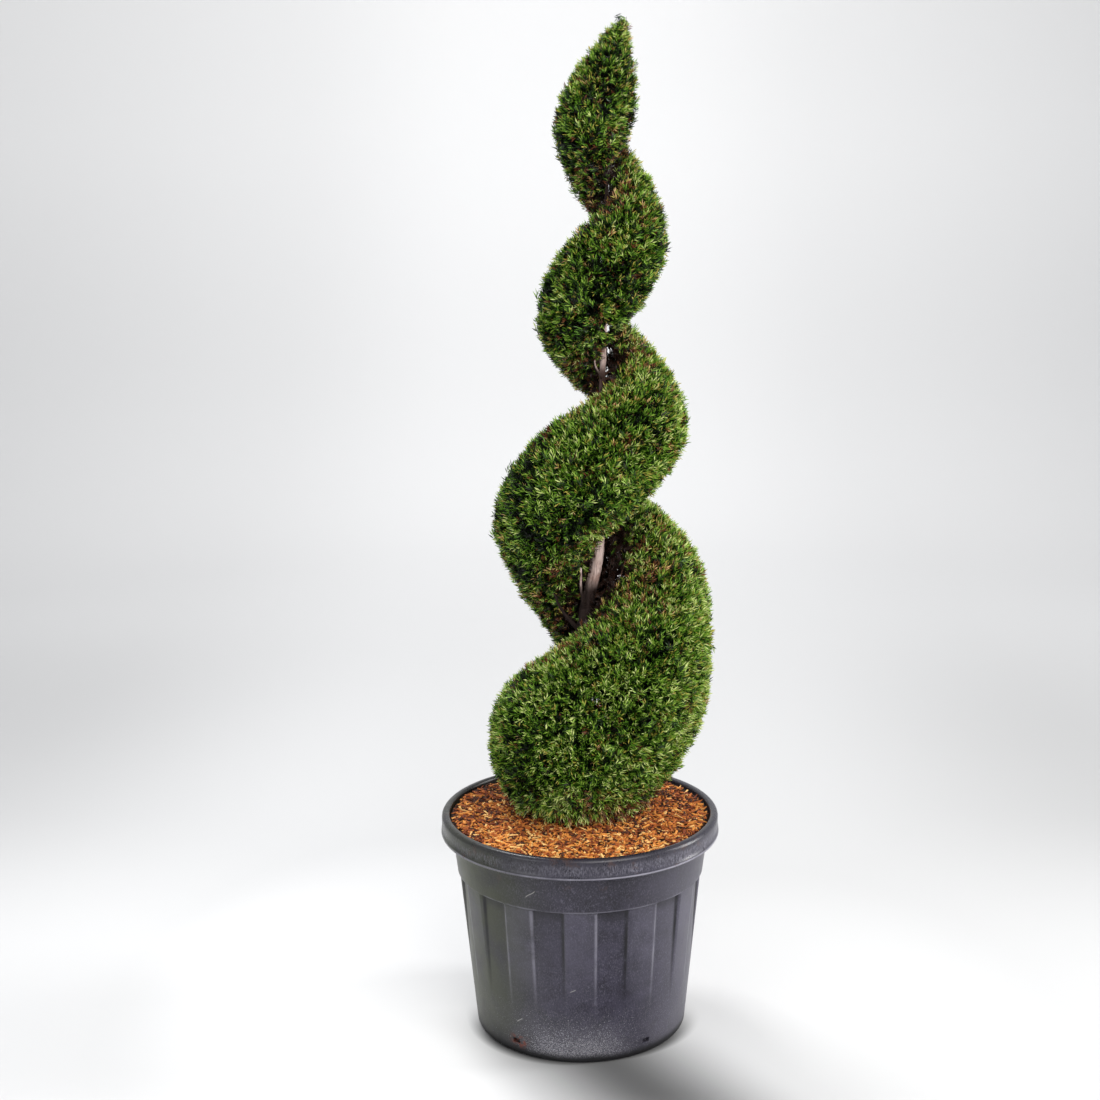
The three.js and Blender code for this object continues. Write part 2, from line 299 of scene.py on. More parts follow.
def makeCamera():
    tilt, roll = math.radians(view["elevation"]), math.radians(view["roll"])
    out, rise = view["distance"] * math.cos(tilt), view["distance"] * math.sin(tilt)
    place = np.array([0, -out, view["aimHeight"] + rise])
    forward = unit(np.array([view["aimSide"], 0, view["aimHeight"]]) - place)
    side = unit(np.cross(forward, [0, 0, 1]))
    up = np.cross(side, forward)
    rolledSide = math.cos(roll) * side + math.sin(roll) * up
    rolledUp = math.cos(roll) * up - math.sin(roll) * side
    data = bpy.data.cameras.new("camera")
    data.lens, data.sensor_width, data.sensor_fit = view["lens"], view["sensor"], "HORIZONTAL"
    data.clip_start, data.clip_end = view["nearest"], view["furthest"]
    camera = bpy.data.objects.new("camera", data)
    placeInScene(camera, rolledSide, rolledUp, forward, place)
    scene.camera = camera


lights = {
    # name: place, aim, width, height, watts, colour
    "key": ((1.25, -2.2, 2.35), (0, 0, 0.7), 2.5, 2.2, 82, (1.0, 0.985, 0.95)),
    "fill": ((-3.23, -3.57, 1.52), (0, 0, 0.5), 2.4, 3.4, 55, (0.97, 0.985, 1.0)),
    "back": ((-0.85, 1.3, 3.2), (0.1, 0, 0.2), 0.8, 0.8, 50, (1.0, 1.0, 1.0)),
    "rim": ((3.57, 0.34, 1.25), (0, 0, 0.4), 1.0, 2.4, 104, (1.0, 1.0, 1.0)),
}
studio = {
    "air": (0.93, 0.95, 1.0, 1.0), "airStrength": 0.70,
    # the floor's flat middle, the cove round it and the wall above that, as radius, radius and height
    "flat": 3.4, "cove": 2.4, "wall": 2.6,
    # the floor's grey level, and how far the changes to it go
    "level": 0.57, "pale": 0.11, "grey": 0.145, "shade": 0.80, "glowStrength": 0.5,
}


def makeLights():
    for name, (place, aim, width, height, watts, color) in lights.items():
        data = bpy.data.lights.new(name, "AREA")
        data.shape, data.size, data.size_y = "RECTANGLE", width, height
        data.energy, data.color = watts, color
        forward = unit(np.array(aim, float) - np.array(place, float))
        side = unit(np.cross(forward, [0, 0, 1]))
        placeInScene(bpy.data.objects.new(name, data), side, np.cross(side, forward), forward, place)
    world = bpy.data.worlds.new("studio")
    world.use_nodes = True
    background = world.node_tree.nodes["Background"]
    background.inputs["Color"].default_value = studio["air"]
    background.inputs["Strength"].default_value = studio["airStrength"]
    scene.world = world
    scene.view_settings.view_transform = "Standard"


def floorShade(x, y):
    # a deep soft shadow in front of the pot, towards the right, and a narrow one round its foot
    across = (x + (y + 0.16) * 0.66 - 0.046).math("ABSOLUTE")
    shade = across.below(0.0, 0.22) * y.below(-0.12, 0.02) * y.above(-0.50, -0.22)
    ring = (x * x + y * y).math("SQRT").above(pot["baseRadius"] - 0.002, pot["baseRadius"] + 0.026)
    return shade.math("MAXIMUM", (1 - ring) * y.below(-0.10, 0.04))


def makeFloorMaterial():
    glowStrength = studio["glowStrength"]
    graph = Graph("studioFloor", Roughness=0.9, Specular_IOR_Level=0.1, Emission_Strength=glowStrength)
    x, y, z = graph.axes(graph.objectPlace())
    shade = floorShade(x, y)
    # painted light and shade on the backdrop: the floor is paler to the left, and greyer out to the sides
    # behind, where the light falls off
    pale = x.below(-0.9, 0.35) * y.below(0.3, 2.2)
    grey = (x + 0.07).math("ABSOLUTE").above(0.35, 1.25) * y.above(0.0, 0.9) * (1 - 0.6 * y.above(1.2, 2.6))
    level = pale * studio["pale"] - grey * studio["grey"] + studio["level"]
    graph.feed("Base Color", graph.greys(level * (1 - shade * studio["shade"])))
    # the wall glows behind the object, and the floor beside the pot, in two ovals
    left = ((x + 0.25) / 0.32) ** 2 + ((y - 0.08) / 0.45) ** 2
    right = ((x - 0.30) / 0.30) ** 2 + (y / 0.40) ** 2
    glow = y.above(0.6, 4.4) * (0.73 - 0.50 * x.math("ABSOLUTE").above(0.1, 3.4)) + z.above(0.4, 1.6) * 0.20
    glow = glow + left.below(0.0, 2.2) * 0.40 + right.below(0.0, 2.0) * 0.18
    graph.feed("Emission Color", graph.greys(glow * (1 - shade)))
    return graph.material


def makeFloor():
    # one profile carried round the vertical: flat, then a wide cove up to a wall
    flat, cove = studio["flat"], studio["cove"]
    turn = np.linspace(0, math.pi / 2, 16)
    radius = np.concatenate([[0.0, 1.0, 2.5], flat + cove * np.sin(turn), [flat + cove]])
    height = np.concatenate([[0.0, 0.0, 0.0], cove - cove * np.cos(turn), [cove + studio["wall"]]])
    points = polar(radius[:, None], circle(96), height[:, None])
    makeObject("floor", points.reshape(-1, 3), gridFaces(*points.shape[:2]), [makeFloorMaterial()])


pot = {
    "height": 0.319, "wall": 0.003, "baseRadius": 0.152, "footRound": 0.006,
    "bodyTop": 0.232, "bodyTopRadius": 0.1745,
    "collarStep": 0.0025, "collarTop": 0.284, "collarRadius": 0.1835,
    "lipRadius": 0.200, "lipDepth": 0.028, "lipWidth": 0.011,
    "flutes": 12, "fluteHalf": 7.5, "fluteRamp": 0.9, "fluteDepth": 0.005, "fluteFade": 0.078,
    "drains": 5, "drainWidth": 0.012, "drainHeight": 0.007, "drainLevel": 0.018,
    "columns": 432,
    # each by its place across and up, slope, length and width
    "scratches": [(-0.068, 0.258, 0.75, 0.020, 0.0008), (-0.011, 0.114, 0.60, 0.010, 0.0009),
                  (-0.086, 0.056, 0.9, 0.012, 0.0008)],
}


def potWall(angle, z):
    # radius of the wall's outside under the lip; each flute is a shallow trough with soft sides
    body = mixed(pot["baseRadius"], pot["bodyTopRadius"], np.clip(z / pot["bodyTop"], 0, 1))
    collar = mixed(pot["bodyTopRadius"] + pot["collarStep"], pot["collarRadius"],
                   np.clip((z - pot["bodyTop"]) / (pot["collarTop"] - pot["bodyTop"]), 0, 1))
    pitch = 360 / pot["flutes"]
    degrees = np.degrees(angle + math.pi / 2) / pitch - 0.5
    off = np.abs(degrees - np.round(degrees)) * pitch
    trough = 1 - smoothStep(pot["fluteHalf"] - pot["fluteRamp"], pot["fluteHalf"] + pot["fluteRamp"], off)
    run = np.clip((z - pot["fluteFade"]) / (pot["bodyTop"] - pot["fluteFade"]), 0, 1)
    shelf = 1 - smoothStep(pot["bodyTop"] - 0.0018, pot["bodyTop"] + 0.0012, z)
    return np.where(z > pot["bodyTop"] + 0.002, collar, body) - pot["fluteDepth"] * trough * run * shelf


def arc(centreRadius, centreHeight, size, start, end, count):
    # points of a round edge in the plane of the profile
    turn = np.radians(np.linspace(start, end, count))
    return np.stack([centreRadius + size * np.cos(turn), centreHeight + size * np.sin(turn)], -1)


potColors = {
    # the plastic, by the mottle's level, then what lies over it, with painted light and shade among it
    "plastic": [(0.30, (37, 35, 45)), (0.62, (55, 52, 66))],
    "collar": (30, 28, 34), "paleFleck": (102, 100, 114), "darkFleck": (24, 23, 29),
    "leftShade": (22, 24, 15), "rightLight": (92, 90, 102), "greenCast": (64, 70, 38),
    "ridge": (112, 110, 124), "cornerShade": (15, 14, 19), "litEdge": (136, 134, 146),
    "underCollar": (24, 23, 29),
    "edgeWearAndHighlight": (140, 138, 150), "lip": (28, 27, 32), "bead": (150, 148, 160), "lipFaceWearAndSheen": (132, 130, 142),
    "lipTop": (32, 30, 38), "haze": (98, 96, 104), "splash": (120, 119, 126), "dust": (180, 179, 184),
    "darkened": (26, 25, 28), "scratch": (170, 168, 164), "rust": (108, 56, 44), "soil": (72, 50, 42),
    "footShadow": (7, 7, 9),
}


def plasticColor(graph, place, x, z):
    # mottled dark grey with fine pale and dark flecks; the left side is darker as painted shade and has a
    # greenish cast in patches, and the right side is paler as painted light
    mottle = graph.noise(place, 38, 6, 0.6)
    color = graph.ramp(mottle, potColors["plastic"])
    collar = z.above(pot["bodyTop"], pot["bodyTop"] + 0.004) * z.below(0.286, 0.290)
    color = graph.paint(color, collar * 0.35, potColors["collar"])
    worn = graph.noise(place, 14, 4, 0.6).above(0.30, 0.65)
    fleck = graph.noise(graph.scaled(place, (1, 1, 0.6)), 560, 4, 0.75)
    color = graph.paint(color, fleck.above(0.50, 0.68) * (worn * 0.35 + 0.25), potColors["paleFleck"])
    color = graph.paint(color, fleck.below(0.34, 0.48) * 0.5, potColors["darkFleck"])
    side = x.below(-0.17, -0.03)
    greenCast = graph.noise(place, 16, 5, 0.6).above(0.25, 0.60) * side
    # painted shade on the left side, painted light on the right
    color = graph.paint(color, side * 0.74, potColors["leftShade"])
    color = graph.paint(color, x.above(0.06, 0.15) * 0.24, potColors["rightLight"])
    return graph.paint(color, greenCast * 0.60, potColors["greenCast"]), mottle, fleck


def fluteColor(graph, color, x, y, z, patchy):
    # off is the angle from the middle of the nearest flute, turned round on the left side, where the light
    # comes from the other way: painted shade lies in one corner of the flute, a painted highlight broken in
    # patches on its other edge, and its top is in the collar's shadow
    top, half = pot["bodyTop"], pot["fluteHalf"]
    pitch = 360 / pot["flutes"]
    degrees = y.math("ARCTAN2", x) * (180 / math.pi) + 90
    off = (degrees / pitch).math("FRACT") * pitch - pitch / 2
    off = off * (1 - 2 * x.math("LESS_THAN", -0.09))
    within = off.math("ABSOLUTE").below(half - 0.8, half)
    under = z.below(top - 0.001, top)
    run = z.above(pot["fluteFade"] - 0.02, top - 0.05) * under
    color = graph.paint(color, (1 - within) * run * (0.06 + 0.10 * patchy), potColors["ridge"])
    cornerShade = off.above(half - 2.6, half - 0.5) * off.below(half - 0.4, half + 0.4)
    color = graph.paint(color, cornerShade * run * (0.55 + 0.4 * patchy), potColors["cornerShade"])
    edge = (0 - off).above(half - 0.5, half + 0.2) * (0 - off).below(half + 0.4, half + 1.7)
    color = graph.paint(color, edge * run * (0.12 + 0.36 * patchy), potColors["litEdge"])
    shadow = z.above(top - 0.020, top - 0.004) * under * within
    return graph.paint(color, shadow * 0.6, potColors["underCollar"])


def lipColor(graph, place, color, x, y, z, patchy):
    # the collar's lower edge is worn pale in places, where it also catches light as a painted highlight, and
    # the lip's bead carries a painted highlight, strongest at the front right
    top, lip = pot["bodyTop"], pot["height"] - pot["lipDepth"]
    edgeWearAndHighlight = z.above(top - 0.0005, top + 0.0012) * z.below(top + 0.0022, top + 0.0050)
    color = graph.paint(color, edgeWearAndHighlight * patchy * 0.42, potColors["edgeWearAndHighlight"])
    frontHighlight = y.below(-0.10, 0.0) * x.above(-0.06, 0.06)
    color = graph.paint(color, z.above(lip - 0.004, lip) * 0.38, potColors["lip"])
    bead = z.above(lip - 0.0005, lip + 0.0005) * z.below(lip + 0.0015, lip + 0.0030)
    color = graph.paint(color, bead * (0.16 + 0.30 * patchy + 0.30 * frontHighlight), potColors["bead"])
    # the lip's face has short upright scratches, laid on more thickly at the front right as a painted
    # highlight, and its top is darker
    lipFaceWearAndSheen = graph.noise(graph.scaled(place, (1, 1, 0.35)), 540, 4, 0.7).above(0.44, 0.62)
    lipFaceWearAndSheen = z.above(0.294, 0.298) * z.below(0.307, 0.312) * lipFaceWearAndSheen
    color = graph.paint(color, lipFaceWearAndSheen * (0.08 + 0.20 * patchy + 0.20 * frontHighlight), potColors["lipFaceWearAndSheen"])
    return graph.paint(color, z.above(0.310, 0.315) * 0.40, potColors["lipTop"])


def footColor(graph, place, color, x, y, z):
    # dried splashes and lime dust at the foot, thickest at the front, with patches round the back
    low = z.below(0.008, 0.090)
    spot = (y * -1).above(0.09, 0.15) * x.below(0.02, 0.10) * x.above(-0.125, -0.045)
    behind = graph.noise(place, 9, 3, 0.5).above(0.55, 0.72) * y.above(-0.05, 0.02)
    spot = spot.math("MAXIMUM", behind)
    dust = (graph.noise(place, 760, 2, 0.6) + low * spot * 0.17 - 0.17).above(0.47, 0.57)
    dust = dust * low.above(0.0, 0.05)
    haze = graph.noise(place, 22, 5, 0.6).above(0.30, 0.7) * low
    color = graph.paint(color, haze * 0.30, potColors["haze"])
    color = graph.paint(color, spot * low * 0.30, potColors["splash"])
    color = graph.paint(color, dust * 0.55, potColors["dust"])
    # darker along the foot, most of all to the left: painted shade
    darkened = z.below(0.010, 0.045) * (0.22 + 0.40 * x.below(-0.11, -0.03))
    return graph.paint(color, darkened * (1 - dust), potColors["darkened"]), dust, haze


def markColor(graph, place, color, x, y, z):
    # short wavering scratches on the front
    for across, height, slope, length, width in pot["scratches"]:
        run = (x - across) * math.cos(slope) + (z - height) * math.sin(slope)
        waver = (run * 300).math("SINE") * 0.0006
        gap = ((z - height) * math.cos(slope) - (x - across) * math.sin(slope) + waver).math("ABSOLUTE")
        line = gap.below(width * 0.4, width) * y.below(-0.1, 0.0)
        line = line * run.math("ABSOLUTE").below(length * 0.3, length * 0.5)
        color = graph.paint(color, line * 0.5, potColors["scratch"])
    # rust-brown soil by the left drain and on the lip, and a near-black painted shade along the foot
    near = (x + 0.086).math("ABSOLUTE").below(0.006, 0.016) * z.below(0.026, 0.034)
    rust = graph.noise(place, 130, 5, 0.7).above(0.46, 0.56) * z.above(0.008, 0.014)
    color = graph.paint(color, near * rust * 0.85, potColors["rust"])
    soil = graph.noise(place, 30, 6, 0.7).above(0.58, 0.68) * z.above(0.24, 0.30)
    color = graph.paint(color, soil * 0.5, potColors["soil"])
    ragged = graph.noise(place, 50, 4, 0.6) * 0.006
    return graph.paint(color, (z - ragged).below(0.003, 0.015) * 0.95, potColors["footShadow"])


def makePotMaterial():
    graph = Graph("potPlastic", Roughness=0.42, Specular_IOR_Level=0.38)
    place = graph.objectPlace()
    x, y, z = graph.axes(place)
    patchy = graph.noise(place, 30, 4, 0.6).above(0.30, 0.62)
    color, mottle, fleck = plasticColor(graph, place, x, z)
    color = fluteColor(graph, color, x, y, z, patchy)
    color = lipColor(graph, place, color, x, y, z, patchy)
    color, dust, haze = footColor(graph, place, color, x, y, z)
    graph.feed("Base Color", markColor(graph, place, color, x, y, z))
    # the lip is glossier than the body, and dust is dull
    gloss = z.above(0.285, 0.292) * 0.10
    graph.feed("Roughness", dust * 0.35 + mottle * 0.25 + haze * 0.1 + fleck * 0.10 + 0.22 - gloss)
    fine = graph.bump(graph.noise(place, 420, 3, 0.6), 0.12, 0.0006)
    graph.feed("Normal", graph.bump(graph.noise(place, 90, 4, 0.6), 0.16, 0.0015, fine))
    return graph.material


def makePot():
    # the pot is one profile of radius and height, carried round and pressed in at the flutes
    lipBottom = pot["height"] - pot["lipDepth"]
    lip, rim = pot["lipRadius"], pot["lipRadius"] - pot["lipWidth"]
    foot = arc(pot["baseRadius"] - pot["footRound"] + 0.0005, pot["footRound"], pot["footRound"], -90, 0, 7)
    bodyHeights = np.concatenate([
        np.linspace(0.010, pot["fluteFade"], 8),
        np.linspace(pot["fluteFade"], pot["bodyTop"] - 0.004, 16)[1:],
        pot["bodyTop"] + np.linspace(-0.0025, 0.0025, 9),
        np.linspace(pot["bodyTop"] + 0.006, pot["collarTop"] - 0.002, 6),
    ])
    # below the lip the wall turns out to a small bead, then the lip's face, its rolled top and the inside
    lipLine = np.concatenate([
        [[pot["collarRadius"] + 0.0004, pot["collarTop"]]],
        [[pot["collarRadius"] + 0.004, pot["collarTop"] + 0.0035]],
        [[lip - 0.010, lipBottom - 0.0015]],
        arc(lip - 0.0022, lipBottom + 0.0006, 0.0022, -90, 0, 5),
        [[lip - 0.0004, lipBottom + 0.0045], [lip - 0.0012, lipBottom + 0.0058]],
        [[lip - 0.0012, lipBottom + 0.012]],
        arc(lip - 0.0072, pot["height"] - 0.006, 0.006, 0, 90, 9),
        arc(rim + 0.0022, pot["height"] - 0.004, 0.004, 90, 180, 6),
        [[rim - 0.0021, pot["height"] - 0.012]],
    ])
    innerHeights = np.linspace(pot["collarTop"] - 0.004, pot["collarTop"] - 0.03, 3)
    angle = circle(pot["columns"])
    wall = np.stack([potWall(angle, z) for z in bodyHeights])
    inner = np.stack([potWall(angle, z) - pot["wall"] for z in innerHeights])
    closed = np.ones_like(angle)
    radius = np.concatenate([[closed * 0.0005, closed * 0.10], foot[:, :1] * closed, wall,
                             lipLine[:, :1] * closed, inner])
    height = np.concatenate([[0.0, 0.0], foot[:, 1], bodyHeights, lipLine[:, 1], innerHeights])
    points = polar(radius, angle, height[:, None])
    return makeObject("potShell", points.reshape(-1, 3), gridFaces(*points.shape[:2]), [makePotMaterial()])


def cutDrains(piece):
    # a square-cornered pocket through the wall for each drain
    boxes, faces = [], []
    out = pot["baseRadius"] - 0.004 + boxCorners[:, 0] * 0.02
    across = (boxCorners[:, 1] - 0.5) * pot["drainWidth"]
    up = pot["drainLevel"] + boxCorners[:, 2] * pot["drainHeight"]
    for k in range(pot["drains"]):
        turn = -math.pi / 2 + (k + 0.5) * tau / pot["drains"]
        x = out * math.cos(turn) - across * math.sin(turn)
        y = out * math.sin(turn) + across * math.cos(turn)
        boxes.append(np.stack([x, y, up], -1))
        faces.append(boxSides + 8 * k)
    cutter = makeObject("drainCutter", np.concatenate(boxes), np.concatenate(faces), [])
    cut = piece.modifiers.new("drains", "BOOLEAN")
    cut.operation, cut.solver, cut.object = "DIFFERENCE", "EXACT", cutter
    depsgraph = bpy.context.evaluated_depsgraph_get()
    finished = bpy.data.meshes.new_from_object(piece.evaluated_get(depsgraph))
    piece.modifiers.clear()
    piece.data = finished
    bpy.data.objects.remove(cutter)
    piece.data.set_sharp_from_angle(angle=math.radians(50))


spiral = {
    # heights; places round the stem are in turns from the left, by the front, the right and the back
    "soil": 0.318, "tip": 1.415, "trunkTop": 1.355,
    "grooveStart": -0.5, "grooveEnd": 2.75,
    "groove": [(-0.5, 0.364), (0, 0.568), (0.5, 0.756), (1, 0.904), (1.5, 1.01), (2, 1.139),
        (2.5, 1.241), (3, 1.346)],
    "above": [(-0.5, 0.002), (-0.15, 0.0255), (0, 0.0349), (0.12, 0.0434), (0.25, 0.0464),
        (0.38, 0.0482), (0.5, 0.0476), (0.75, 0.0462), (1, 0.0353), (1.25, 0.013), (1.5, 0.0283),
        (1.75, 0.037), (2, 0.0392), (2.25, 0.0165), (2.5, 0.0134), (2.75, 0.0015)],
    "below": [(-0.5, 0.002), (-0.15, 0.0221), (0, 0.0322), (0.12, 0.0425), (0.25, 0.055),
        (0.38, 0.0488), (0.5, 0.0224), (0.75, 0.0129), (1, 0.0187), (1.25, 0.0265), (1.5, 0.0257),
        (1.75, 0.0198), (2, 0.0127), (2.25, 0.0096), (2.5, 0.0138), (2.75, 0.0015)],
    "radius": [(0.31, 0.1113), (0.38, 0.1326), (0.46, 0.1537), (0.6, 0.1632), (0.76, 0.1483),
        (0.88, 0.1173), (1.02, 0.0906), (1.13, 0.0823), (1.25, 0.0665), (1.325, 0.049),
        (1.352, 0.0388), (1.378, 0.0264), (1.405, 0.011), (1.415, 0.001)],
    "lean": [(0.31, 0.006), (0.46, 0.005), (0.56, 0.006), (0.621, 0.0125), (0.6455, 0.0185),
        (0.67, 0.0245), (0.707, 0.029), (0.8, 0.032), (0.97, 0.036), (1.1, 0.041), (1.26, 0.042),
        (1.37, 0.042), (1.415, 0.043)],
    "curl": [(0.31, -0.0076), (0.4, 0.0042), (0.48, 0.0158), (0.56, 0.0221), (0.62, 0.0207),
        (0.68, 0.0129), (0.76, 0.0046), (0.86, -0.0004), (1.04, 0.0001), (1.1, 0.0011), (1.2, -0.0054),
        (1.26, -0.0117), (1.32, -0.0093), (1.355, 0), (1.378, 0.0084), (1.405, 0.0167),
        (1.415, 0.0244)],
    "foot": 0.270, "footTop": 0.400, "underPower": 1.64, "underRoot": 2.02, "topPower": 2.55, "topRoot": 2.88,
    "trunkTip": 0.002, "trunkBase": 0.017, "trunkTaper": 1.9, "flareWidth": 0.008, "flareHeight": 0.028,
}


def leanAt(z):
    return smoothCurve(spiral["lean"], z)


def trunkRadius(z):
    left = np.clip((spiral["trunkTop"] - z) / (spiral["trunkTop"] - spiral["soil"]), 0, 1)
    flare = spiral["flareWidth"] * np.exp(-(z - spiral["soil"]) / spiral["flareHeight"])
    taper = (spiral["trunkBase"] - spiral["trunkTip"]) * left ** spiral["trunkTaper"]
    return spiral["trunkTip"] + taper + flare


def aroundStem(angle, radius, z):
    # above the trunk's tip the whole ring is shifted with the curl of the leader
    shift = np.where(z > spiral["trunkTop"], smoothCurve(spiral["curl"], z), 0)
    return np.stack([leanAt(z) + shift + radius * np.cos(angle), radius * np.sin(angle), z + 0 * radius], -1)


def grooveAt(turn):
    return smoothCurve(spiral["groove"], turn)


def aboveAt(turn):
    return np.maximum(0.0012, smoothCurve(spiral["above"], turn))


def belowAt(turn):
    return np.maximum(0.0012, smoothCurve(spiral["below"], turn))


def grooveDepth(turn):
    start = np.clip((turn - spiral["grooveStart"]) / 0.35, 0, 1)
    return start * np.clip((spiral["grooveEnd"] - turn) / 0.25, 0, 1)


def clipRadius(angle, z):
    # reach of the clipped face from the stem
    uneven = 1 + 0.022 * np.sin(3 * angle + z / 0.061) + 0.018 * np.sin(5 * angle - z / 0.037 + 1)
    curl = np.where(z <= spiral["trunkTop"], smoothCurve(spiral["curl"], z), 0)
    return smoothCurve(spiral["radius"], z) * uneven + curl * np.cos(angle)


def footFace(z):
    # how far the face is drawn in over the mulch where the lowest groove starts
    off = np.clip((spiral["footTop"] - z) / (spiral["footTop"] - spiral["foot"]), 0, 1)
    return (1 - off ** spiral["underPower"]) ** (1 / spiral["underRoot"])


def bandPlace(turn, share, near=None):
    # the band under the groove at this turn: share runs from its lower edge, 0, to its upper, 1. The turn
    # that near gives says whether there is a groove below the band, and one above it
    near = turn if near is None else near
    angle = (turn + 0.5) * tau
    below = near - 1 > spiral["grooveStart"]
    above = near < spiral["grooveEnd"]
    low = np.where(below, grooveAt(turn - 1) + aboveAt(turn - 1), spiral["foot"])
    high = np.where(above, grooveAt(turn) - belowAt(turn), spiral["tip"] + 0.010)
    bottom = np.maximum(low, spiral["soil"] + 0.001)
    top = np.minimum(high, spiral["tip"] - 0.001)
    z = bottom + (top - bottom) * share
    # the lower half is drawn in under the band and the upper half over it, each as far as its groove is deep.
    # The lower half turns into the shape that it has past the end of the last groove
    toCrown = smoothStep(spiral["grooveEnd"] - 0.3, spiral["grooveEnd"], turn)
    crown = mixed(high, spiral["tip"] + 0.010, toCrown)
    under = np.clip(((low + crown) / 2 - z) / ((crown - low) / 2), 0, 1)
    over = np.clip((z - (low + high) / 2) / ((high - low) / 2), 0, 1)
    underShort = 1 - np.maximum(0, 1 - under ** spiral["underPower"]) ** (1 / spiral["underRoot"])
    overShort = 1 - np.maximum(0, 1 - over ** spiral["topPower"]) ** (1 / spiral["topRoot"])
    # the mulch draws the foot in where no groove lies below, and eases off where the lowest one starts
    fromStart = turn - spiral["grooveStart"]
    foot = np.where(fromStart < 0.6, 1 - smoothStep(0, 0.4, fromStart), smoothStep(0.8, 1, fromStart))
    ease = np.where(below, 1 - smoothStep(1, 1.4, fromStart), foot)
    footShort = 1 - footFace(z)
    underShort = np.where(below, np.maximum(grooveDepth(turn - 1) * underShort, ease * footShort),
                          mixed(underShort, footShort, ease))
    overShort = np.where(above, grooveDepth(turn), 0) * overShort
    radius = clipRadius(angle, z) * (1 - underShort) * (1 - overShort)
    return angle, np.maximum(radius, trunkRadius(z) + 0.003), z


def bandPoint(turn, share, near=None):
    angle, radius, z = bandPlace(turn, share, near)
    return aroundStem(angle, radius, z)


mulch = {
    "edge": 0.3125, "flat": 0.070, "radius": 0.1862, "depth": 0.018,
    "chips": 11500, "long": (0.005, 0.017), "wide": (0.0013, 0.0034), "thick": (0.0007, 0.0018),
    # colour of the chips, and the tone above which each is dealt
    "colors": [((62, 30, 15), -9), ((124, 58, 24), -1.05), ((176, 96, 38), -0.45), ((218, 142, 62), 0.35),
               ((240, 192, 118), 1.25)],
    # colours of the bed under them, by the noise's level, and the darker colour against the wall
    "bed": [(0.3, (26, 13, 7)), (0.55, (78, 38, 17)), (0.75, (150, 84, 38))], "darkened": (22, 14, 11),
}


def soilHeight(x, y):
    # level round the stem, then falling a little to the wall
    radius = np.hypot(x, y)
    fall = np.clip((radius - mulch["flat"]) / (mulch["radius"] - mulch["flat"]), 0, 1)
    return mixed(spiral["soil"], mulch["edge"], fall)


def makeSoil():
    # a disc of rings with a low rough relief, closed by a skirt and a flat underside
    rings, columns = 90, 240
    radius = mulch["radius"] * np.linspace(0.002, 1, rings) ** 0.8
    flat = polar(radius[:, None], circle(columns), 0)
    relief = 0.0012 * swell(flat, 0.016, 3) + 0.0007 * swell(flat, 0.006, 4) - 0.0022
    x, y = flat[..., 0], flat[..., 1]
    top = np.stack([x, y, soilHeight(x, y) + relief], -1)
    side = top[-1].copy()
    side[:, 2] = mulch["edge"] - mulch["depth"]
    side[:, :2] *= 0.915
    centre = side.copy()
    centre[:, :2] *= 0.002
    points = np.concatenate([top.reshape(-1, 3), side, centre])
    faces = gridFaces(rings + 2, columns)
    graph = Graph("mulchBed", Roughness=0.95)
    place = graph.objectPlace()
    color = graph.ramp(graph.noise(place, 130, 5, 0.7), mulch["bed"])
    x, y = graph.axes(place)[:2]
    # darker against the wall
    out = (x * x + y * y).math("SQRT").above(mulch["radius"] - 0.010, mulch["radius"] - 0.002)
    graph.feed("Base Color", graph.paint(color, out * 0.85, mulch["darkened"]))
    graph.feed("Normal", graph.bump(graph.noise(place, 300, 4, 0.7), 0.8, 0.002))
    return makeObject("mulchBed", points, faces[:, ::-1], [graph.material])


def makeChips():
    # each chip is a wedge-ended splinter: eight corners, jittered, laid nearly flat
    rng = np.random.default_rng(11)
    count = mulch["chips"]
    radius = (mulch["radius"] - 0.0055) * np.sqrt(rng.uniform(0.02, 1, count))
    angle = rng.uniform(0, tau, count)
    length = rng.uniform(*mulch["long"], count) * rng.uniform(0.6, 1.0, count)
    width = rng.uniform(*mulch["wide"], count)
    thick = rng.uniform(*mulch["thick"], count)
    corners = boxCorners * 2 - 1
    shape = corners[None] * 0.5 * np.stack([length, width, thick], -1)[:, None]
    shape *= rng.uniform(0.55, 1.15, shape.shape)
    shape[..., 2] += (0.06 * length[:, None]) * (corners[None, :, 0] ** 2) * rng.uniform(-1, 1, (count, 1))
    yaw = rng.uniform(0, tau, count)
    pitch = rng.normal(0, 0.28, count)
    tip = rng.normal(0, 0.35, count)
    forward = np.stack([np.cos(yaw) * np.cos(pitch), np.sin(yaw) * np.cos(pitch), np.sin(pitch)], -1)
    side = np.stack([-np.sin(yaw), np.cos(yaw), 0 * yaw], -1)
    up = np.cross(forward, side)
    tilted = side * np.cos(tip)[:, None] + up * np.sin(tip)[:, None]
    up = np.cross(forward, tilted)
    x, y = radius * np.cos(angle), radius * np.sin(angle)
    centre = np.stack([x, y, soilHeight(x, y) + rng.uniform(-0.0015, 0.0022, count)], -1)
    points = laidOut(shape, centre, forward, tilted, up)
    faces = (boxSides[None] + 8 * np.arange(count)[:, None, None]).reshape(-1, 4)
    # paler to the front and darker to the back
    tone = rng.normal(size=count) + 0.35 * swell(centre, 0.05, 12) - 0.35
    tone = tone - 0.75 * centre[:, 1] / mulch["radius"]
    tint = np.digitize(tone, [level for _, level in mulch["colors"][1:]])
    materials = [Graph(f"chip{n}", Base_Color=rgb(*color), Roughness=0.85).material
                 for n, (color, _) in enumerate(mulch["colors"])]
    slots = np.repeat(tint, len(boxSides))
    return makeObject("mulchChips", points.reshape(-1, 3), faces, materials, slots, smooth=False)


